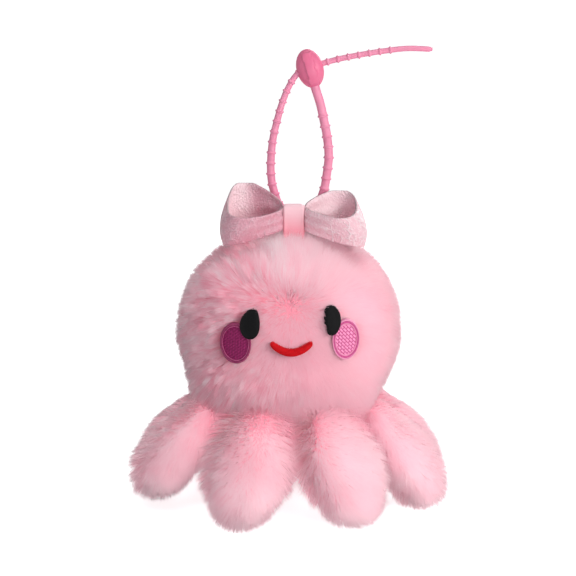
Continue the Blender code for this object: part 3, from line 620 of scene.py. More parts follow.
facePatches = {
    "leftEye": {"middle": (-14.1, 73.1), "halves": (3.6, 5.3), "furOver": 0.0},
    "rightEye": {"middle": (15.4, 74.4), "halves": (3.2, 5.3), "furOver": 1.3},
    "leftCheek": {"middle": (-19.3, 65.8), "halves": (5.7, 7.4), "furOver": 0.0},
    "rightCheek": {"middle": (20.5, 67.1), "halves": (5.0, 7.3), "furOver": 0.0},
}
smile = {
    "middle": 0.8, "halfWidth": 6.9, "cornerHeight": 66.7, "drop": 3.6, "thickness": 2.6, "endThickness": 2.0,
    "overrun": 0.55, "rest": -0.35, "crown": 0.75, "relief": 0.1, "threads": 44,
}
# how the pile is clipped round the embroidery
trim = {
    "hang": 0.35, "smileEdge": 0.8, "smileEnds": 0.9, "frontY": -10, "rootMargin": -1.6, "margin": -0.25,
    "surface": -0.8, "shorten": 0.8, "rounds": 5, "stations": (0.45, 0.6, 0.75, 0.9, 1.0),
}


def overPatch(points, margin):
    # above 0 where a point lies over a stitched patch, or hangs just above one
    x, z = points[:, 0], points[:, 2] - trim["hang"]
    found = np.full(x.shape, -1.0)
    for patch in facePatches.values():
        halfWidth, halfHeight = patch["halves"]
        middleX = patch["middle"][0] + patch["furOver"] / 2
        across = (x - middleX) / (halfWidth + margin - patch["furOver"] / 2)
        found = np.maximum(found, 1 - np.hypot(across, (z - patch["middle"][1]) / (halfHeight + margin)))
    share = (x - smile["middle"]) / smile["halfWidth"]
    middle = smile["cornerHeight"] - smile["drop"] * (1 - np.clip(share, -1, 1) ** 2)
    near = 1 - np.abs(z - middle) / (smile["thickness"] / 2 + trim["smileEdge"] + margin)
    near = np.where(np.abs(share) < 1 + (trim["smileEnds"] + margin) / smile["halfWidth"], near, -1)
    return np.where(points[:, 1] < trim["frontY"], np.maximum(found, near), -1)


def trimRoundPatches(strands):
    # strands that would lie over the embroidery are clipped short, and none grow through it
    strands = chosen(strands, overPatch(strands["root"], trim["rootMargin"]) <= 0)
    root = strands["root"]
    for _ in range(trim["rounds"]):
        covers = np.zeros(len(root), bool)
        for t in trim["stations"]:
            place = pointAlong(strands, t)
            proud = -place[:, 1] > frontDepth(place[:, 0], place[:, 2], trim["surface"])
            covers |= (overPatch(place, trim["margin"]) > 0) & proud
        for key in ("bend", "tip"):
            strands[key][covers] = root[covers] + (strands[key][covers] - root[covers]) * trim["shorten"]
    return strands


headCore = stuffedCore("headCore", "head_stuffing", stuffing["headVoxel"])
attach(headCore, "body")
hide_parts("face_panel", "back_panel", "base_panel", "head_stuffing")
strands = joined(
    growPile(headCore, headPile, headRules, seeds["head"]),
    growPile(headCore, {**headPile, **fineHair, "length": 8.8}, headRules, seeds["headFine"]),
)
# the lowest strands hang over the leg tops
strands["tip"] += np.outer(ramp(-strands["root"][:, 2], *headHem["zone"]), (0, 0, -headHem["drop"]))
strands = trimRoundPatches(strands)
quarters = {
    "pileFrontLeft": (-1, -1), "pileFrontRight": (1, -1), "pileBackLeft": (-1, 1), "pileBackRight": (1, 1),
}
for pieceName, (xSide, ySide) in quarters.items():
    mine = (strands["root"][:, 0] * xSide > 0) & (strands["root"][:, 1] * ySide > 0)
    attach(strandMesh(pieceName, chosen(strands, mine)), "body")
print("head grown,", len(strands["root"]), "strands")


# Legs

legs = {  # turn, reach, lift and how far the pile is brushed aside
    "1": (-70, 47.8, 4.0, 0.1), "2": (-21, 44.8, 0, 0), "3": (27, 44.8, 0, 0.75), "4": (70, 47.8, 0, -0.1),
    "5": (110, 47.8, 0, 0), "6": (153, 44.8, 0, 0), "7": (201, 44.8, 0, 0), "8": (250, 47.8, 0, 0),
}
legLine = {"root": (20.0, 44.7), "footHeight": 15.8, "knee": (0.76, 0.62), "rootClear": -0.8, "tipClear": 1.0}
legPile = {**headPile, "length": 7.9, "rootLean": 26, "tipLean": 58, "swirl": 16, "swirlSize": 12}
# zones of a leg's pile: where each begins and where it is complete
legZones = {
    "toe": (-13, -3), "creaseOut": (-41, -31), "creaseUp": (22, 36), "flank": (0.6, 1), "flankUp": (16, 28),
    "full": (0.45, 0.95), "fullUp": (12, 22), "outside": (0.5, 1), "outsideDown": (-27, -20),
    "shoulder": (25, 37), "offFlank": (-0.85, -0.45), "lit": (-0.3, 0.7),
}
legBrush = {"down": 0.85, "toeEase": 0.5, "aside": 29, "fall": 0.12, "light": (0.65, -0.7, 0.3)}
# crease and flank are painted shade, deeper where the leg meets the head and its neighbours
legTones = {"plain": 0.66, "crease": -0.34, "flank": -0.14, "toe": 0.14, "waves": 0.05}
legLengths = {"plain": 1, "flank": 0.5, "outside": 0.18}
legTrim = {"shoulder": 0.25, "sideShoulder": 0.42, "toe": 0.08, "toeFlank": 0.24}
legBunch = {"plain": 1.05, "lit": 0.85}


def legRules(name):
    turn, reach, lift, brushed = legs[name]
    angle = math.radians(turn)
    outward = np.array([math.sin(angle), -math.cos(angle), 0.0])
    sideways = np.array([math.cos(angle), math.sin(angle), 0.0])
    start = np.array(legLine["root"])
    foot = np.array([reach, legLine["footHeight"] + lift])
    knee = start + (foot - start) * np.array(legLine["knee"])
    shares = np.linspace(0, 1, 24)[:, None]
    line = start * (1 - shares) ** 2 + knee * (2 * shares * (1 - shares)) + foot * shares**2
    runs = unit((knee - start) * (1 - shares) + (foot - knee) * shares)

    def zone(name, value):
        return ramp(value, *legZones[name])

    def rules(root, normal):
        out, up = root @ outward, root[:, 2]
        nearest = np.argmin((out[:, None] - line[:, 0]) ** 2 + (up[:, None] - line[:, 1]) ** 2, axis=1)
        run = runs[nearest]
        down = outward * run[:, :1] + np.array([0, 0, 1.0]) * run[:, 1:]
        aside = sideways * ((root @ sideways) / legBrush["aside"] + brushed)[:, None]
        toe = zone("toe", lift - up)
        comb = down * (legBrush["down"] - legBrush["toeEase"] * toe)[:, None] + aside
        comb = comb + np.array([0, 0, -legBrush["fall"]])
        # painted shade: salmon where the leg meets the head and its neighbours; paler on its rounded front
        # and its toe
        flank = np.abs(normal @ sideways)
        tone = weighted(legTones, {
            "crease": zone("creaseOut", -out) * zone("creaseUp", up),
            "flank": zone("flank", flank) * zone("flankUp", up), "toe": toe, "waves": waves(root, 16, 8),
        })
        # fuller along its flanks, where it presses on its neighbours, and short at the top
        full = weighted(legLengths, {
            "flank": zone("full", flank) * zone("fullUp", up),
            "outside": zone("outside", normal @ outward) * zone("outsideDown", -up),
        })
        short = legTrim["shoulder"] + legTrim["sideShoulder"] * abs(outward[0])
        full -= short * zone("shoulder", up) * zone("offFlank", -flank)
        lit = zone("lit", normal @ np.array(legBrush["light"]))
        length = full * (1 - toe * (legTrim["toe"] + legTrim["toeFlank"] * flank))
        return comb, tone, length, legBunch["plain"] - legBunch["lit"] * lit

    return rules, outward


for number, name in enumerate(legs):
    rules, outward = legRules(name)
    core = stuffedCore("legCore" + name, "leg_stuffing_" + name, stuffing["legVoxel"])
    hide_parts("leg_cover_" + name, "leg_stuffing_" + name)
    step = number * seeds["legStep"]
    strands = joined(
        growPile(core, legPile, rules, seeds["legs"] + step),
        growPile(core, {**legPile, **fineHair, "length": 8.6}, rules, seeds["legsFine"] + step),
    )
    # none stands against the head
    rootClear = headReach(strands["root"], legLine["rootClear"]) > 1
    tipClear = headReach(strands["tip"], legLine["tipClear"]) > 1
    strands = chosen(strands, rootClear & tipClear)
    for piece in (core, strandMesh("legPile" + name, strands)):
        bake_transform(piece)
print("legs grown, the last with", len(strands["root"]), "strands")


# Embroidery: rayon thread laid over a filler pad, silky along each thread


def waveScale(pitch):
    # a wave texture's Scale for a stripe every so many millimetres
    return 2 * math.pi / (20 * pitch * mm)


def threadMaterial(name, dark, light, gloss, rows=None, basket=False):
    material, tree, shader = newMaterial(name, Roughness=gloss, Specular_IOR_Level=0.1)
    place = addNode(tree, "ShaderNodeTexCoord")
    # flecks of 0.8 mm, two thread widths
    noise = addNode(
        tree, "ShaderNodeTexNoise", {}, {"Scale": 1300.0, "Detail": 2.0}, {"Vector": place.outputs["Object"]}
    )
    share = noise.outputs[0]
    if rows:
        # slanting rows of fill stitches, a row every so many millimetres
        slant = addNode(
            tree, "ShaderNodeMapping", {}, {"Rotation": (0, math.radians(-52), 0)},
            {"Vector": place.outputs["Object"]}
        )
        wave = addNode(
            tree, "ShaderNodeTexWave", {"bands_direction": "X"},
            {"Scale": waveScale(rows), "Distortion": 1.2, "Detail Scale": 3.0}, {"Vector": slant.outputs[0]}
        )
        share = addNode(
            tree, "ShaderNodeMix", {}, {0: 0.72}, {2: wave.outputs["Fac"], 3: noise.outputs[0]}
        ).outputs[0]
    if basket:
        # short stitches set like bricks, 1.7 mm by 0.95 mm, with darker thread between them
        slant = addNode(
            tree, "ShaderNodeMapping", {}, {"Rotation": (math.radians(90), 0, math.radians(-48))},
            {"Vector": place.outputs["Object"]}
        )
        brick = addNode(
            tree, "ShaderNodeTexBrick", {},
            {
                "Scale": 1 / mm, "Brick Width": 1.7, "Row Height": 0.95,
                "Mortar Size": 0.2, "Mortar Smooth": 0.5,
            },
            {"Vector": slant.outputs[0]}
        )
        between = addNode(
            tree, "ShaderNodeMath", {"operation": "SUBTRACT"}, {0: 1.0}, {1: brick.outputs["Fac"]}
        )
        share = addNode(
            tree, "ShaderNodeMix", {}, {0: 0.3}, {2: between.outputs[0], 3: noise.outputs[0]}
        ).outputs[0]
    colour = addNode(
        tree, "ShaderNodeMix", {"data_type": "RGBA"}, {6: linearColour(dark), 7: linearColour(light)},
        {0: share}
    )
    tree.links.new(colour.outputs[2], shader.inputs["Base Color"])
    return material


blackThread = threadMaterial("blackSatinThread", "#020203", "#09090C", 0.55)
redThread = threadMaterial("redSatinThread", "#AA050F", "#DC111B", 0.5)
deepThread = threadMaterial("deepMagentaThread", "#5E0B36", "#A63370", 0.5, rows=0.9)
edgeThread = threadMaterial("magentaEdgeThread", "#863056", "#A44C74", 0.5)
lineThread = threadMaterial("rosePinkThread", "#B44A7E", "#DA78A6", 0.48)
brightThread = threadMaterial("brightMagentaThread", "#B83474", "#FFA9D3", 0.48, basket=True)
bandThread = threadMaterial("magentaBandThread", "#C9508E", "#DD70A8", 0.48)
paleThread = threadMaterial("palePinkThread", "#E88DB9", "#F7B4D2", 0.45)


# how far the stitched pieces reach back from the head's front surface
stitchBack = {"pad": -2.8, "ring": -2.4}


def padMesh(name, x, z, lift, material):
    # a stitched face from a grid seen from the front, with sides down to the backing and a flat back
    rows, columns = x.shape
    front = np.stack([x, -frontDepth(x, z, lift), z], axis=-1).reshape(-1, 3)
    rim = list(range(columns)) + [r * columns + columns - 1 for r in range(1, rows)]
    rim += [(rows - 1) * columns + c for c in range(columns - 2, -1, -1)]
    rim += [r * columns for r in range(rows - 2, 0, -1)]
    low = front[rim].copy()
    low[:, 1] = -frontDepth(low[:, 0], low[:, 2], stitchBack["pad"])
    base, count = len(front), len(rim)
    faces = gridFaces(rows, columns)
    faces += [(rim[i], base + i, base + (i + 1) % count, rim[(i + 1) % count]) for i in range(count)]
    faces.append(tuple(range(base, base + count)))
    return makeMesh(name, np.concatenate([front, low]), faces, material)


def threadRows(count, samples):
    return np.abs(np.sin(np.linspace(0, count * math.pi, samples)))


ovalTip = 0.995  # a grid stops just before an oval's tips, where its rows would shrink to nothing
eyeStitch = {"pitch": 0.42, "rest": -0.1, "crown": 0.75, "relief": 0.12, "footLean": 0.25}
# the pile buries the ends of some threads: rows that share a depth, the least share, and where up the eye
burial = {"rows": 5, "least": 0.25, "middle": -0.15, "reach": 0.62, "seed": 9}


def eyeStitches(name, patch, tipLean, slant, point, ragged=0.0):
    # satin stitch laid across a pointed oval
    middle, (halfWidth, halfHeight) = patch["middle"], patch["halves"]
    threads = int(2 * halfHeight / eyeStitch["pitch"])
    v = np.linspace(-ovalTip, ovalTip, threads * 4 + 1)[:, None]
    u = np.linspace(-1, 1, 15)[None, :]
    wide = np.sqrt(1 - v**2) * (1 - point * v)
    lean = tipLean * np.where(v > 0, v**2, eyeStitch["footLean"] * v**2)
    x = middle[0] + lean + u * wide * halfWidth
    z = middle[1] + v * halfHeight + u * slant * wide
    ends = np.random.default_rng(burial["seed"]).uniform(0, 1, v.size // burial["rows"] + 2)
    depths = np.interp(np.arange(v.size), np.arange(len(ends)) * burial["rows"], ends)
    buried = burial["least"] + (1 - burial["least"]) * depths
    where = np.exp(-(((v - burial["middle"]) / burial["reach"]) ** 4))
    x = x + ragged * np.clip(-u, 0, 1) * (buried[:, None] * where)
    reach = np.clip(u**2 * wide**2 + v**2, 0, 1)
    rows = eyeStitch["relief"] * threadRows(threads, v.size)[:, None]
    return padMesh(name, x, z, eyeStitch["rest"] + eyeStitch["crown"] * (1 - reach**2) + rows, blackThread)


fillStitch = {"rest": -0.75, "crown": 0.3, "relief": 0.14, "way": (0.62, 0.79), "pitches": (1.7, 1.2)}


def cheekFill(name, patch, share, material):
    v = np.linspace(-ovalTip, ovalTip, 80)[:, None]
    u = np.linspace(-1, 1, 70)[None, :]
    wide = np.sqrt(1 - v**2)
    x = patch["middle"][0] + u * wide * patch["halves"][0] * share
    z = patch["middle"][1] + v * patch["halves"][1] * share + 0 * u
    (wayX, wayZ), (pitchA, pitchB) = fillStitch["way"], fillStitch["pitches"]
    a, b = x * wayX + z * wayZ, z * wayX - x * wayZ
    crown = fillStitch["crown"] * (1 - np.clip(u**2 * wide**2 + v**2, 0, 1))
    stitches = fillStitch["relief"] * np.sin(a * 2 * math.pi / pitchA) * np.sin(b * 2 * math.pi / pitchB)
    return padMesh(name, x, z, fillStitch["rest"] + crown + stitches, material)


ringStitch = {"threads": 90, "rest": -0.8, "relief": 0.07}


def cheekRing(name, patch, inner, outer, rise, material):
    # short threads laid across the edge, all the way round
    threads = ringStitch["threads"]
    turn = np.linspace(0, 2 * math.pi, threads * 4, endpoint=False)[:, None]
    band = np.linspace(0, 1, 7)[None, :]
    share = inner + (outer - inner) * band
    x = patch["middle"][0] + np.cos(turn) * patch["halves"][0] * share
    z = patch["middle"][1] + np.sin(turn) * patch["halves"][1] * share
    across = ringStitch["relief"] * np.abs(np.sin(turn * threads / 2))
    lift = ringStitch["rest"] + rise * np.sin(band * math.pi) + across
    top = np.stack([x, -frontDepth(x, z, lift), z], axis=-1)
    under = top[:, ::-1].copy()
    under[..., 1] = -frontDepth(under[..., 0], under[..., 2], stitchBack["ring"])
    ring = np.concatenate([top, under], axis=1)
    return makeMesh(name, ring.reshape(-1, 3), gridFaces(ring.shape[0], ring.shape[1], True, True), material)


def finishPatch(piece, node=None):
    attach(piece, "body")
    if node:
        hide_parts(node)


leftEye = eyeStitches("leftEyeStitches", facePatches["leftEye"], tipLean=1.1, slant=0.35, point=0.08)
finishPatch(leftEye, "left_eye")
rightEye = eyeStitches(
    "rightEyeStitches", facePatches["rightEye"], tipLean=-0.6, slant=-0.2, point=-0.04, ragged=1.0
)
finishPatch(rightEye, "right_eye")

cheekFills = {  # the CAD node, the share of the cheek and the thread
    "leftCheek": ("left_cheek", 0.83, deepThread), "rightCheek": ("right_cheek", 0.78, brightThread),
}
cheekRings = {  # from which share of the cheek to which, the rise and the thread
    "leftCheek": {"Line": (0.81, 0.86, 0.42, lineThread), "Edge": (0.855, 1.0, 0.4, edgeThread)},
    "rightCheek": {
        "Line": (0.74, 0.82, 0.45, paleThread), "Band": (0.815, 0.92, 0.3, bandThread),
        "Edge": (0.91, 1.0, 0.5, paleThread),
    },
}
for cheek, (node, share, thread) in cheekFills.items():
    finishPatch(cheekFill(cheek + "Fill", facePatches[cheek], share, thread), node)
    for part, ring in cheekRings[cheek].items():
        finishPatch(cheekRing(cheek + part, facePatches[cheek], *ring))

share = np.linspace(-1, 1, smile["threads"] * 4 + 1)[:, None]
band = np.linspace(-1, 1, 9)[None, :]
blunt = np.sqrt(np.clip(1 - np.abs(share) ** 12, 0.004, 1))
thick = (smile["endThickness"] + (smile["thickness"] - smile["endThickness"]) * (1 - share**2)) * blunt
slope = np.arctan(2 * smile["drop"] * share / smile["halfWidth"])
x = smile["middle"] + share * (smile["halfWidth"] + smile["overrun"]) - np.sin(slope) * thick / 2 * band
z = smile["cornerHeight"] - smile["drop"] * (1 - share**2) + np.cos(slope) * thick / 2 * band
relief = smile["relief"] * threadRows(smile["threads"], share.size)[:, None]
lift = smile["rest"] + smile["crown"] * (1 - band**2) * blunt + relief
finishPatch(padMesh("smileStitches", x, z, lift, redThread), "mouth")
print("face stitched")


# Ribbed strap and its lock, one soft moulding

strap = {
    "seat": (3.6, 108.3), "halfWidth": 10.6, "height": 46.6, "tail": 45.0, "lock": (0.385, 1.158),
    "loop": (
        (0.47, 1.085), (0.58, 1.0), (0.74, 0.885), (0.86, 0.765), (0.985, 0.62), (1.045, 0.46), (0.96, 0.29),
        (0.86, 0.18), (0.60, 0.06), (0.0, 0.0), (-0.62, 0.06), (-0.87, 0.19), (-0.965, 0.30), (-0.975, 0.435),
        (-0.90, 0.605), (-0.735, 0.765), (-0.59, 0.88), (-0.36, 1.01), (-0.05, 1.115),
    ),
    "tailRoute": ((0.075, 0.033), (0.225, 0.075), (0.40, 0.110), (0.60, 0.142), (0.80, 0.163), (1.0, 0.156)),
    "radii": (1.75, 1.5, 1.1, 1.05), "taper": (0, 0.5, 0.7, 1), "step": 0.3, "endRound": 1.4,
    "ribRise": 0.45, "ribHalf": 0.36, "ribPitch": 3.9, "smoothRoot": 14.5, "smoothTail": 14.3,
}
lockShape = {
    "halves": (5.0, 4.0, 7.3), "lean": -16, "panelX": (-1.7, 1.9), "panelHalf": 5.8, "panelDepth": 1.0,
    "inset": 0.35, "rise": 0.55,
}


def rubberMaterial(name, dark, light):
    # soft moulded thermoplastic rubber: satin, with a wide soft highlight and a little light in it
    material, tree, shader = newMaterial(
        name, Roughness=0.44,
        Subsurface_Weight=0.15, Subsurface_Radius=(1.0, 0.4, 0.5), Subsurface_Scale=0.0015
    )
    place = addNode(tree, "ShaderNodeTexCoord")
    # cloudy patches of 4 mm, as the mould leaves them
    noise = addNode(
        tree, "ShaderNodeTexNoise", {}, {"Scale": 240.0, "Detail": 3.0}, {"Vector": place.outputs["Object"]}
    )
    colour = addNode(
        tree, "ShaderNodeMix", {"data_type": "RGBA"}, {6: linearColour(dark), 7: linearColour(light)},
        {0: noise.outputs[0]}
    )
    bump = addNode(
        tree, "ShaderNodeBump", {}, {"Strength": 0.15, "Distance": 0.0001}, {"Height": noise.outputs[0]}
    )
    tree.links.new(colour.outputs[2], shader.inputs["Base Color"])
    tree.links.new(bump.outputs[0], shader.inputs["Normal"])
    return material


thickRubber = rubberMaterial("mouldedRubber", "#DA5F89", "#E8799C")
# the same rubber, painted paler for the light that gets through the thin band
thinRubber = rubberMaterial("mouldedRubberThin", "#E283A6", "#EC97B4")


def strapRoute():
    # a smooth line through the loop, the lock and the tail
    s = strap
    seat, size = np.array(s["seat"]), np.array([s["halfWidth"], s["height"]])
    lockMiddle = seat + size * np.array(s["lock"])
    tail = lockMiddle + s["tail"] * np.array(s["tailRoute"])
    points = np.concatenate([seat + size * np.array(s["loop"]), [lockMiddle], tail])
    line = []
    for i in range(len(points) - 1):
        before, after = points[max(i - 1, 0)], points[min(i + 2, len(points) - 1)]
        start, end = points[i], points[i + 1]
        for t in np.arange(24) / 24:
            squared = (before * 2 - start * 5 + end * 4 - after) * t**2
            cubed = (start * 3 - before - end * 3 + after) * t**3
            line.append((start * 2 + (end - before) * t + squared + cubed) / 2)
    line = np.array(line + [points[-1]])
    steps = np.linalg.norm(np.diff(line, axis=0), axis=1)
    return line, np.concatenate([[0], np.cumsum(steps)]), lockMiddle


route, routeLengths, lockMiddle = strapRoute()
whole = routeLengths[-1]
stations = np.arange(0, whole, strap["step"])
radii = np.interp(stations, np.array(strap["taper"]) * whole, strap["radii"])
for rib in np.arange(strap["smoothRoot"], whole - strap["smoothTail"], strap["ribPitch"]):
    radii = radii + strap["ribRise"] * np.exp(-(((stations - rib) / strap["ribHalf"]) ** 4))
radii = radii * np.clip((whole - stations) / strap["endRound"], 0.25, 1) ** 0.35  # the tail's end is rounded
curve = bpy.data.curves.new("strapBand", "CURVE")
curve.dimensions = "3D"
curve.bevel_depth = mm
curve.bevel_resolution = 5
curve.use_fill_caps = True
spline = curve.splines.new("POLY")
spline.points.add(len(stations) - 1)
routeX, routeZ = (np.interp(stations, routeLengths, route[:, axis]) for axis in (0, 1))
for point, x, z, radius in zip(spline.points, routeX, routeZ, radii):
    point.co = (x * mm, 0, z * mm, 1)
    point.radius = radius
bandPiece = bpy.data.objects.new("strapBand", curve)
bpy.context.collection.objects.link(bandPiece)
startAlone(bandPiece)
bpy.ops.object.convert(target="MESH")
bandPiece = bpy.context.object
bpy.ops.object.shade_smooth()
bandPiece.data.materials.append(thinRubber)
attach(bandPiece, "strap")
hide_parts("ribbed_band")

startAlone()
bpy.ops.mesh.primitive_uv_sphere_add(segments=56, ring_count=36, radius=mm, location=(0, 0, 0))
lock = bpy.context.object
lock.name = lock.data.name = "strapLock"
lock.scale = lockShape["halves"]
bpy.ops.object.transform_apply(location=False, rotation=False, scale=True)
bpy.ops.object.mode_set(mode="EDIT")
bpy.ops.mesh.select_all(action="DESELECT")
shell = bmesh.from_edit_mesh(lock.data)
left, right = lockShape["panelX"]
for f in shell.faces:
    m = f.calc_center_median() / mm
    # the raised panels of its two faces
    f.select = abs(m.y) > lockShape["panelDepth"] and left < m.x < right and abs(m.z) < lockShape["panelHalf"]
bmesh.update_edit_mesh(lock.data)
bpy.ops.mesh.inset(thickness=lockShape["inset"] * mm, depth=lockShape["rise"] * mm)
bpy.ops.object.mode_set(mode="OBJECT")
bpy.ops.object.shade_smooth()
lock.rotation_euler = (0, math.radians(lockShape["lean"]), 0)
lock.location = (lockMiddle[0] * mm, 0, lockMiddle[1] * mm)
bpy.ops.object.transform_apply(location=True, rotation=True, scale=True)
lock.data.materials.append(thickRubber)
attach(lock, "strap")
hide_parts("strap_lock")
print("strap done")


# Bow

bow = {
    "middleX": 1.7, "plane": -10.92, "halfSpan": 27.6, "thickness": 0.7, "backDepth": 7.0, "frontDepth": 7.8,
    "lean": 2.0, "bottom": 101.9, "top": 112.5, "leftRise": 8.0, "rightRise": 5.2, "frontDrop": 2.6,
    "endDrop": (3.2, 4.0), "dropPower": 0.7, "pinchRise": 2.4, "pinchPower": 1.5, "pinch": 0.6, "belly": 0.6,
    "knotWidth": 8.0, "knotClear": 0.3, "narrowTop": (0.12, 0.17), "narrowFoot": 0.07,
    "stations": 60, "levels": 16, "swellPower": 0.9, "swellBias": 0.55, "swellPeak": 0.725,
    "gather": 0.55, "gatherReach": 0.42, "gathers": 5, "ripple": 0.35,
    "innerPattern": 60,  # the ribbon's inner face reads this much further along the pattern
}

# polyester jacquard ribbon: a pebbled matt ground with silky outlines here and there
# its pebbles are 0.8 mm and its figures 3 mm across, drawn coarser than real
jacquard, tree, shader = newMaterial("jacquardRibbon", Roughness=0.5, Sheen_Weight=0.25)
place = addNode(tree, "ShaderNodeUVMap", {"uv_map": "ribbonLength"})
pebble = addNode(
    tree, "ShaderNodeTexVoronoi", {"feature": "F1"}, {"Scale": 1.3}, {"Vector": place.outputs[0]}
)
figure = addNode(
    tree, "ShaderNodeTexVoronoi", {"feature": "DISTANCE_TO_EDGE"}, {"Scale": 0.36},
    {"Vector": place.outputs[0]}
)
area = addNode(tree, "ShaderNodeTexNoise", {}, {"Scale": 0.16, "Detail": 1.0}, {"Vector": place.outputs[0]})
dip = addNode(tree, "ShaderNodeMapRange", {}, {1: 0.1, 2: 0.65}, {0: pebble.outputs["Distance"]})
line = addNode(tree, "ShaderNodeMapRange", {}, {1: 0.11, 2: 0.03}, {0: figure.outputs["Distance"]})
here = addNode(tree, "ShaderNodeMapRange", {}, {1: 0.46, 2: 0.58}, {0: area.outputs[0]})
outline = addNode(
    tree, "ShaderNodeMath", {"operation": "MULTIPLY"}, {}, {0: line.outputs[0], 1: here.outputs[0]}
)
faint = addNode(tree, "ShaderNodeMath", {"operation": "MULTIPLY"}, {1: 0.6}, {0: outline.outputs[0]})
ground = addNode(
    tree, "ShaderNodeMix", {"data_type": "RGBA"}, {6: linearColour("#F2D3DB"), 7: linearColour("#E8BAC6")},
    {0: dip.outputs[0]}
)
colour = addNode(
    tree, "ShaderNodeMix", {"data_type": "RGBA"}, {7: linearColour("#F8E6EB")},
    {0: faint.outputs[0], 6: ground.outputs[2]}
)
# painted shade: the left loop is multiplied deeper, as it faces away from the light (places here are in
# metres)
spot = addNode(tree, "ShaderNodeTexCoord")
parts = addNode(tree, "ShaderNodeSeparateXYZ", links={0: spot.outputs["Object"]})
leftLoopShade = addNode(
    tree, "ShaderNodeMapRange", {"interpolation_type": "SMOOTHSTEP"}, {1: 0.004, 2: -0.004},
    {0: parts.outputs["X"]}
)
deeper = addNode(
    tree, "ShaderNodeMix", {"data_type": "RGBA", "blend_type": "MULTIPLY"}, {7: linearColour("#EAD2DA")},
    {0: leftLoopShade.outputs[0], 6: colour.outputs[2]}
)
# painted light: its inner face, toward the loops' ends, is painted paler where the end walls catch the lamps
ribbon = addNode(tree, "ShaderNodeSeparateXYZ", links={0: place.outputs[0]})
inside = addNode(
    tree, "ShaderNodeMath", {"operation": "GREATER_THAN"}, {1: bow["innerPattern"] / 2},
    {0: ribbon.outputs["Y"]}
)
leftEnd = addNode(
    tree, "ShaderNodeMapRange", {"interpolation_type": "SMOOTHSTEP"}, {1: -0.011, 2: -0.018, 4: 0.95},
    {0: parts.outputs["X"]}
)
rightEnd = addNode(
    tree, "ShaderNodeMapRange", {"interpolation_type": "SMOOTHSTEP"}, {1: 0.002, 2: 0.008, 4: 0.75},
    {0: parts.outputs["X"]}
)
ends = addNode(
    tree, "ShaderNodeMath", {"operation": "MAXIMUM"}, {}, {0: leftEnd.outputs[0], 1: rightEnd.outputs[0]}
)
endWallLight = addNode(
    tree, "ShaderNodeMath", {"operation": "MULTIPLY"}, {}, {0: ends.outputs[0], 1: inside.outputs[0]}
)
shown = addNode(
    tree, "ShaderNodeMix", {"data_type": "RGBA"}, {7: linearColour("#FBDFE6")},
    {0: endWallLight.outputs[0], 6: deeper.outputs[2]}
)
height = addNode(
    tree, "ShaderNodeMath", {"operation": "SUBTRACT"}, {}, {0: outline.outputs[0], 1: dip.outputs[0]}
)
bump = addNode(
    tree, "ShaderNodeBump", {}, {"Strength": 0.8, "Distance": 0.00022}, {"Height": height.outputs[0]}
)
tree.links.new(shown.outputs[2], shader.inputs["Base Color"])
tree.links.new(bump.outputs[0], shader.inputs["Normal"])


def bowStation(side, turn):
    # a loop's line seen from above: from the pinch round the end and back, with its bottom and top
    b = bow
    start = b["knotWidth"] / 2 + b["knotClear"]
    along = (1 + math.cos(turn)) / 2
    swell = math.sin(abs(turn)) ** b["swellPower"] * (1 - b["swellBias"] * (1 - along)) / b["swellPeak"]
    pinch, ease, lean = b["pinch"], 1 - along**4, 0.0
    if turn < 0:
        y = -pinch * ease - (b["frontDepth"] - pinch) * swell
        top = b["top"] - b["frontDrop"] * swell
        lean = -b["lean"] * swell
    else:
        y = pinch * ease + (b["backDepth"] - pinch) * swell
        top = b["top"] + (b["leftRise"] if side < 0 else b["rightRise"]) * min(swell, 1)
    endDrop = b["endDrop"][0 if side < 0 else 1] * along ** b["dropPower"]
    bottom = b["bottom"] + b["pinchRise"] * (1 - along) ** b["pinchPower"] - endDrop
    return side * (start + (b["halfSpan"] - start) * along), y, bottom, top, lean, along


def makeBow():
    b = bow
    turns = [math.pi * (i / b["stations"] * 2 - 1) for i in range(b["stations"] + 1)]
    places = [(-1, t) + bowStation(-1, t) for t in turns]
    places += [(1, t) + bowStation(1, t) for t in reversed(turns)]
    flat = np.array([(p[2], p[3]) for p in places])
    run = unit(np.roll(flat, -1, 0) - np.roll(flat, 1, 0))
    out = np.stack([-run[:, 1], run[:, 0]], axis=1)
    length = np.concatenate([[0], np.cumsum(np.linalg.norm(np.diff(flat, axis=0), axis=1))])
    share = np.linspace(0, 1, b["levels"] + 1)
    points, uvs = [], []
    for i, (side, turn, x, y, bottom, top, lean, along) in enumerate(places):
        depth = min(1, abs(y) / b["backDepth"])
        z = bottom + (top - bottom) * share
        off = b["belly"] * np.sin(math.pi * share) * depth
        off = off + b["ripple"] * np.sin(share * 5.0 + length[i] * 0.35) * depth
        # gathers run out from the pinch and fade along the loop
        fade = b["gather"] * math.exp(-((along / b["gatherReach"]) ** 2)) * min(1.0, 0.25 + along * 5)
        off = off + fade * np.sin(share * b["gathers"] * math.pi + (0.6 if turn < 0 else 2.2) + side)
        narrowTop = b["narrowTop"][0 if side < 0 else 1]
        narrowing = along * (narrowTop * share**2.2 + b["narrowFoot"] * (1 - share) ** 3)
        for faceSide, order in ((1, slice(None)), (-1, slice(None, None, -1))):
            shift = off + faceSide * b["thickness"] / 2
            px = b["middleX"] + x * (1 - narrowing) + out[i, 0] * shift
            py = b["plane"] + y + out[i, 1] * shift + lean * (2 * share - 1)
            points.append(np.stack([px, py, z], axis=1)[order])
            across = z - z[0] + (b["innerPattern"] if faceSide < 0 else 0)
            uvs.append(np.stack([np.full(len(share), length[i]), across], axis=1)[order])
    faces = gridFaces(len(places), 2 * len(share), True, True)
    piece = makeMesh("bowRibbon", np.concatenate(points), faces, jacquard)
    layer = piece.data.uv_layers.new(name="ribbonLength")
    corner = np.zeros(len(piece.data.loops), np.int32)
    piece.data.loops.foreach_get("vertex_index", corner)
    layer.data.foreach_set("uv", np.concatenate(uvs)[corner].astype(np.float32).reshape(-1))
    return piece, length[-1]


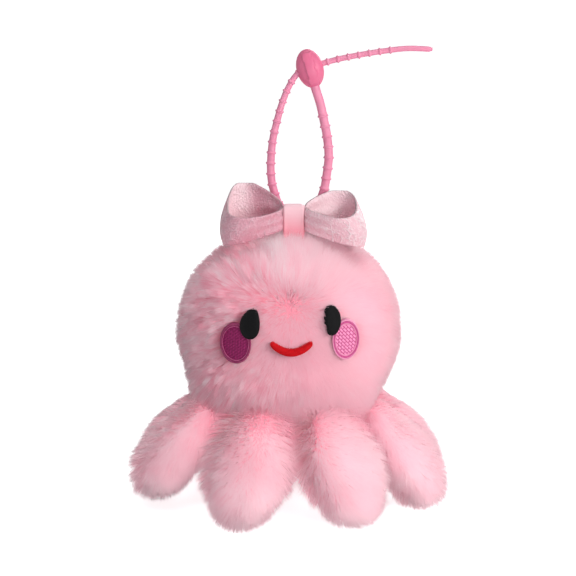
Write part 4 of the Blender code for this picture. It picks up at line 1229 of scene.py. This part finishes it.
bowPiece, ribbonLength = makeBow()
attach(bowPiece, "body")
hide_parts("bow_ribbon")

# narrow satin ribbon: fine cross ribs 0.5 mm apart, drawn coarser than real, with a soft sheen
satin, tree, shader = newMaterial("satinRibbon", Roughness=0.4, Sheen_Weight=0.25)
place = addNode(tree, "ShaderNodeTexCoord")
wave = addNode(
    tree, "ShaderNodeTexWave", {"bands_direction": "Z"}, {"Scale": waveScale(0.5), "Distortion": 0.4},
    {"Vector": place.outputs["Object"]}
)
# painted shade and painted reflection: deeper toward its foot, for the loops' shade and the fur's salmon
# thrown onto it (heights are in metres)
parts = addNode(tree, "ShaderNodeSeparateXYZ", links={0: place.outputs["Object"]})
rise = addNode(
    tree, "ShaderNodeMapRange", {"interpolation_type": "SMOOTHSTEP"}, {1: 0.1005, 2: 0.1135},
    {0: parts.outputs["Z"]}
)
share = addNode(tree, "ShaderNodeMix", {}, {0: 0.1}, {2: rise.outputs[0], 3: wave.outputs["Fac"]})
colour = addNode(
    tree, "ShaderNodeMix", {"data_type": "RGBA"}, {6: linearColour("#E47E92"), 7: linearColour("#F5CDD6")},
    {0: share.outputs[0]}
)
bump = addNode(
    tree, "ShaderNodeBump", {}, {"Strength": 0.25, "Distance": 0.0001}, {"Height": wave.outputs["Fac"]}
)
tree.links.new(colour.outputs[2], shader.inputs["Base Color"])
tree.links.new(bump.outputs[0], shader.inputs["Normal"])

knotShape = {
    "round": 1.3, "fold": 107.6, "foldHalf": 0.7, "foldDepth": 0.5, "edge": (2.6, 3.6), "edgeRise": 0.28,
}
low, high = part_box("bow_knot_band")
startAlone()
bpy.ops.mesh.primitive_cube_add(size=1, location=(low + high) / 2)
knot = bpy.context.object
knot.name = knot.data.name = "bowKnot"
knot.scale = high - low
bpy.ops.object.transform_apply(location=True, rotation=True, scale=True)
bpy.ops.object.mode_set(mode="EDIT")
bpy.ops.mesh.select_all(action="SELECT")
bpy.ops.mesh.bevel(offset=knotShape["round"] * mm, segments=5, affect="EDGES")
bpy.ops.mesh.subdivide(number_cuts=3)
bpy.ops.object.mode_set(mode="OBJECT")
# the band pulls in at a soft fold across its front, and its woven edges stand up
places = corners(knot)
middleX, middleY = (low[0] + high[0]) / 2 / mm, (low[1] + high[1]) / 2 / mm
inner = 1 - ramp(np.abs(places[:, 0] - middleX), *knotShape["edge"])
fold = np.exp(-(((places[:, 2] - knotShape["fold"]) / knotShape["foldHalf"]) ** 2))
places[:, 1] += (places[:, 1] < middleY) * (knotShape["foldDepth"] * fold + knotShape["edgeRise"] * inner)
knot.data.vertices.foreach_set("co", (places * mm).astype(np.float32).reshape(-1))
bpy.ops.object.shade_smooth()
knot.data.materials.append(satin)
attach(knot, "body")
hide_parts("bow_knot_band")

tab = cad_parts["hanging_tab"]
tab.data.materials.clear()
tab.data.materials.append(satin)
print("bow done")
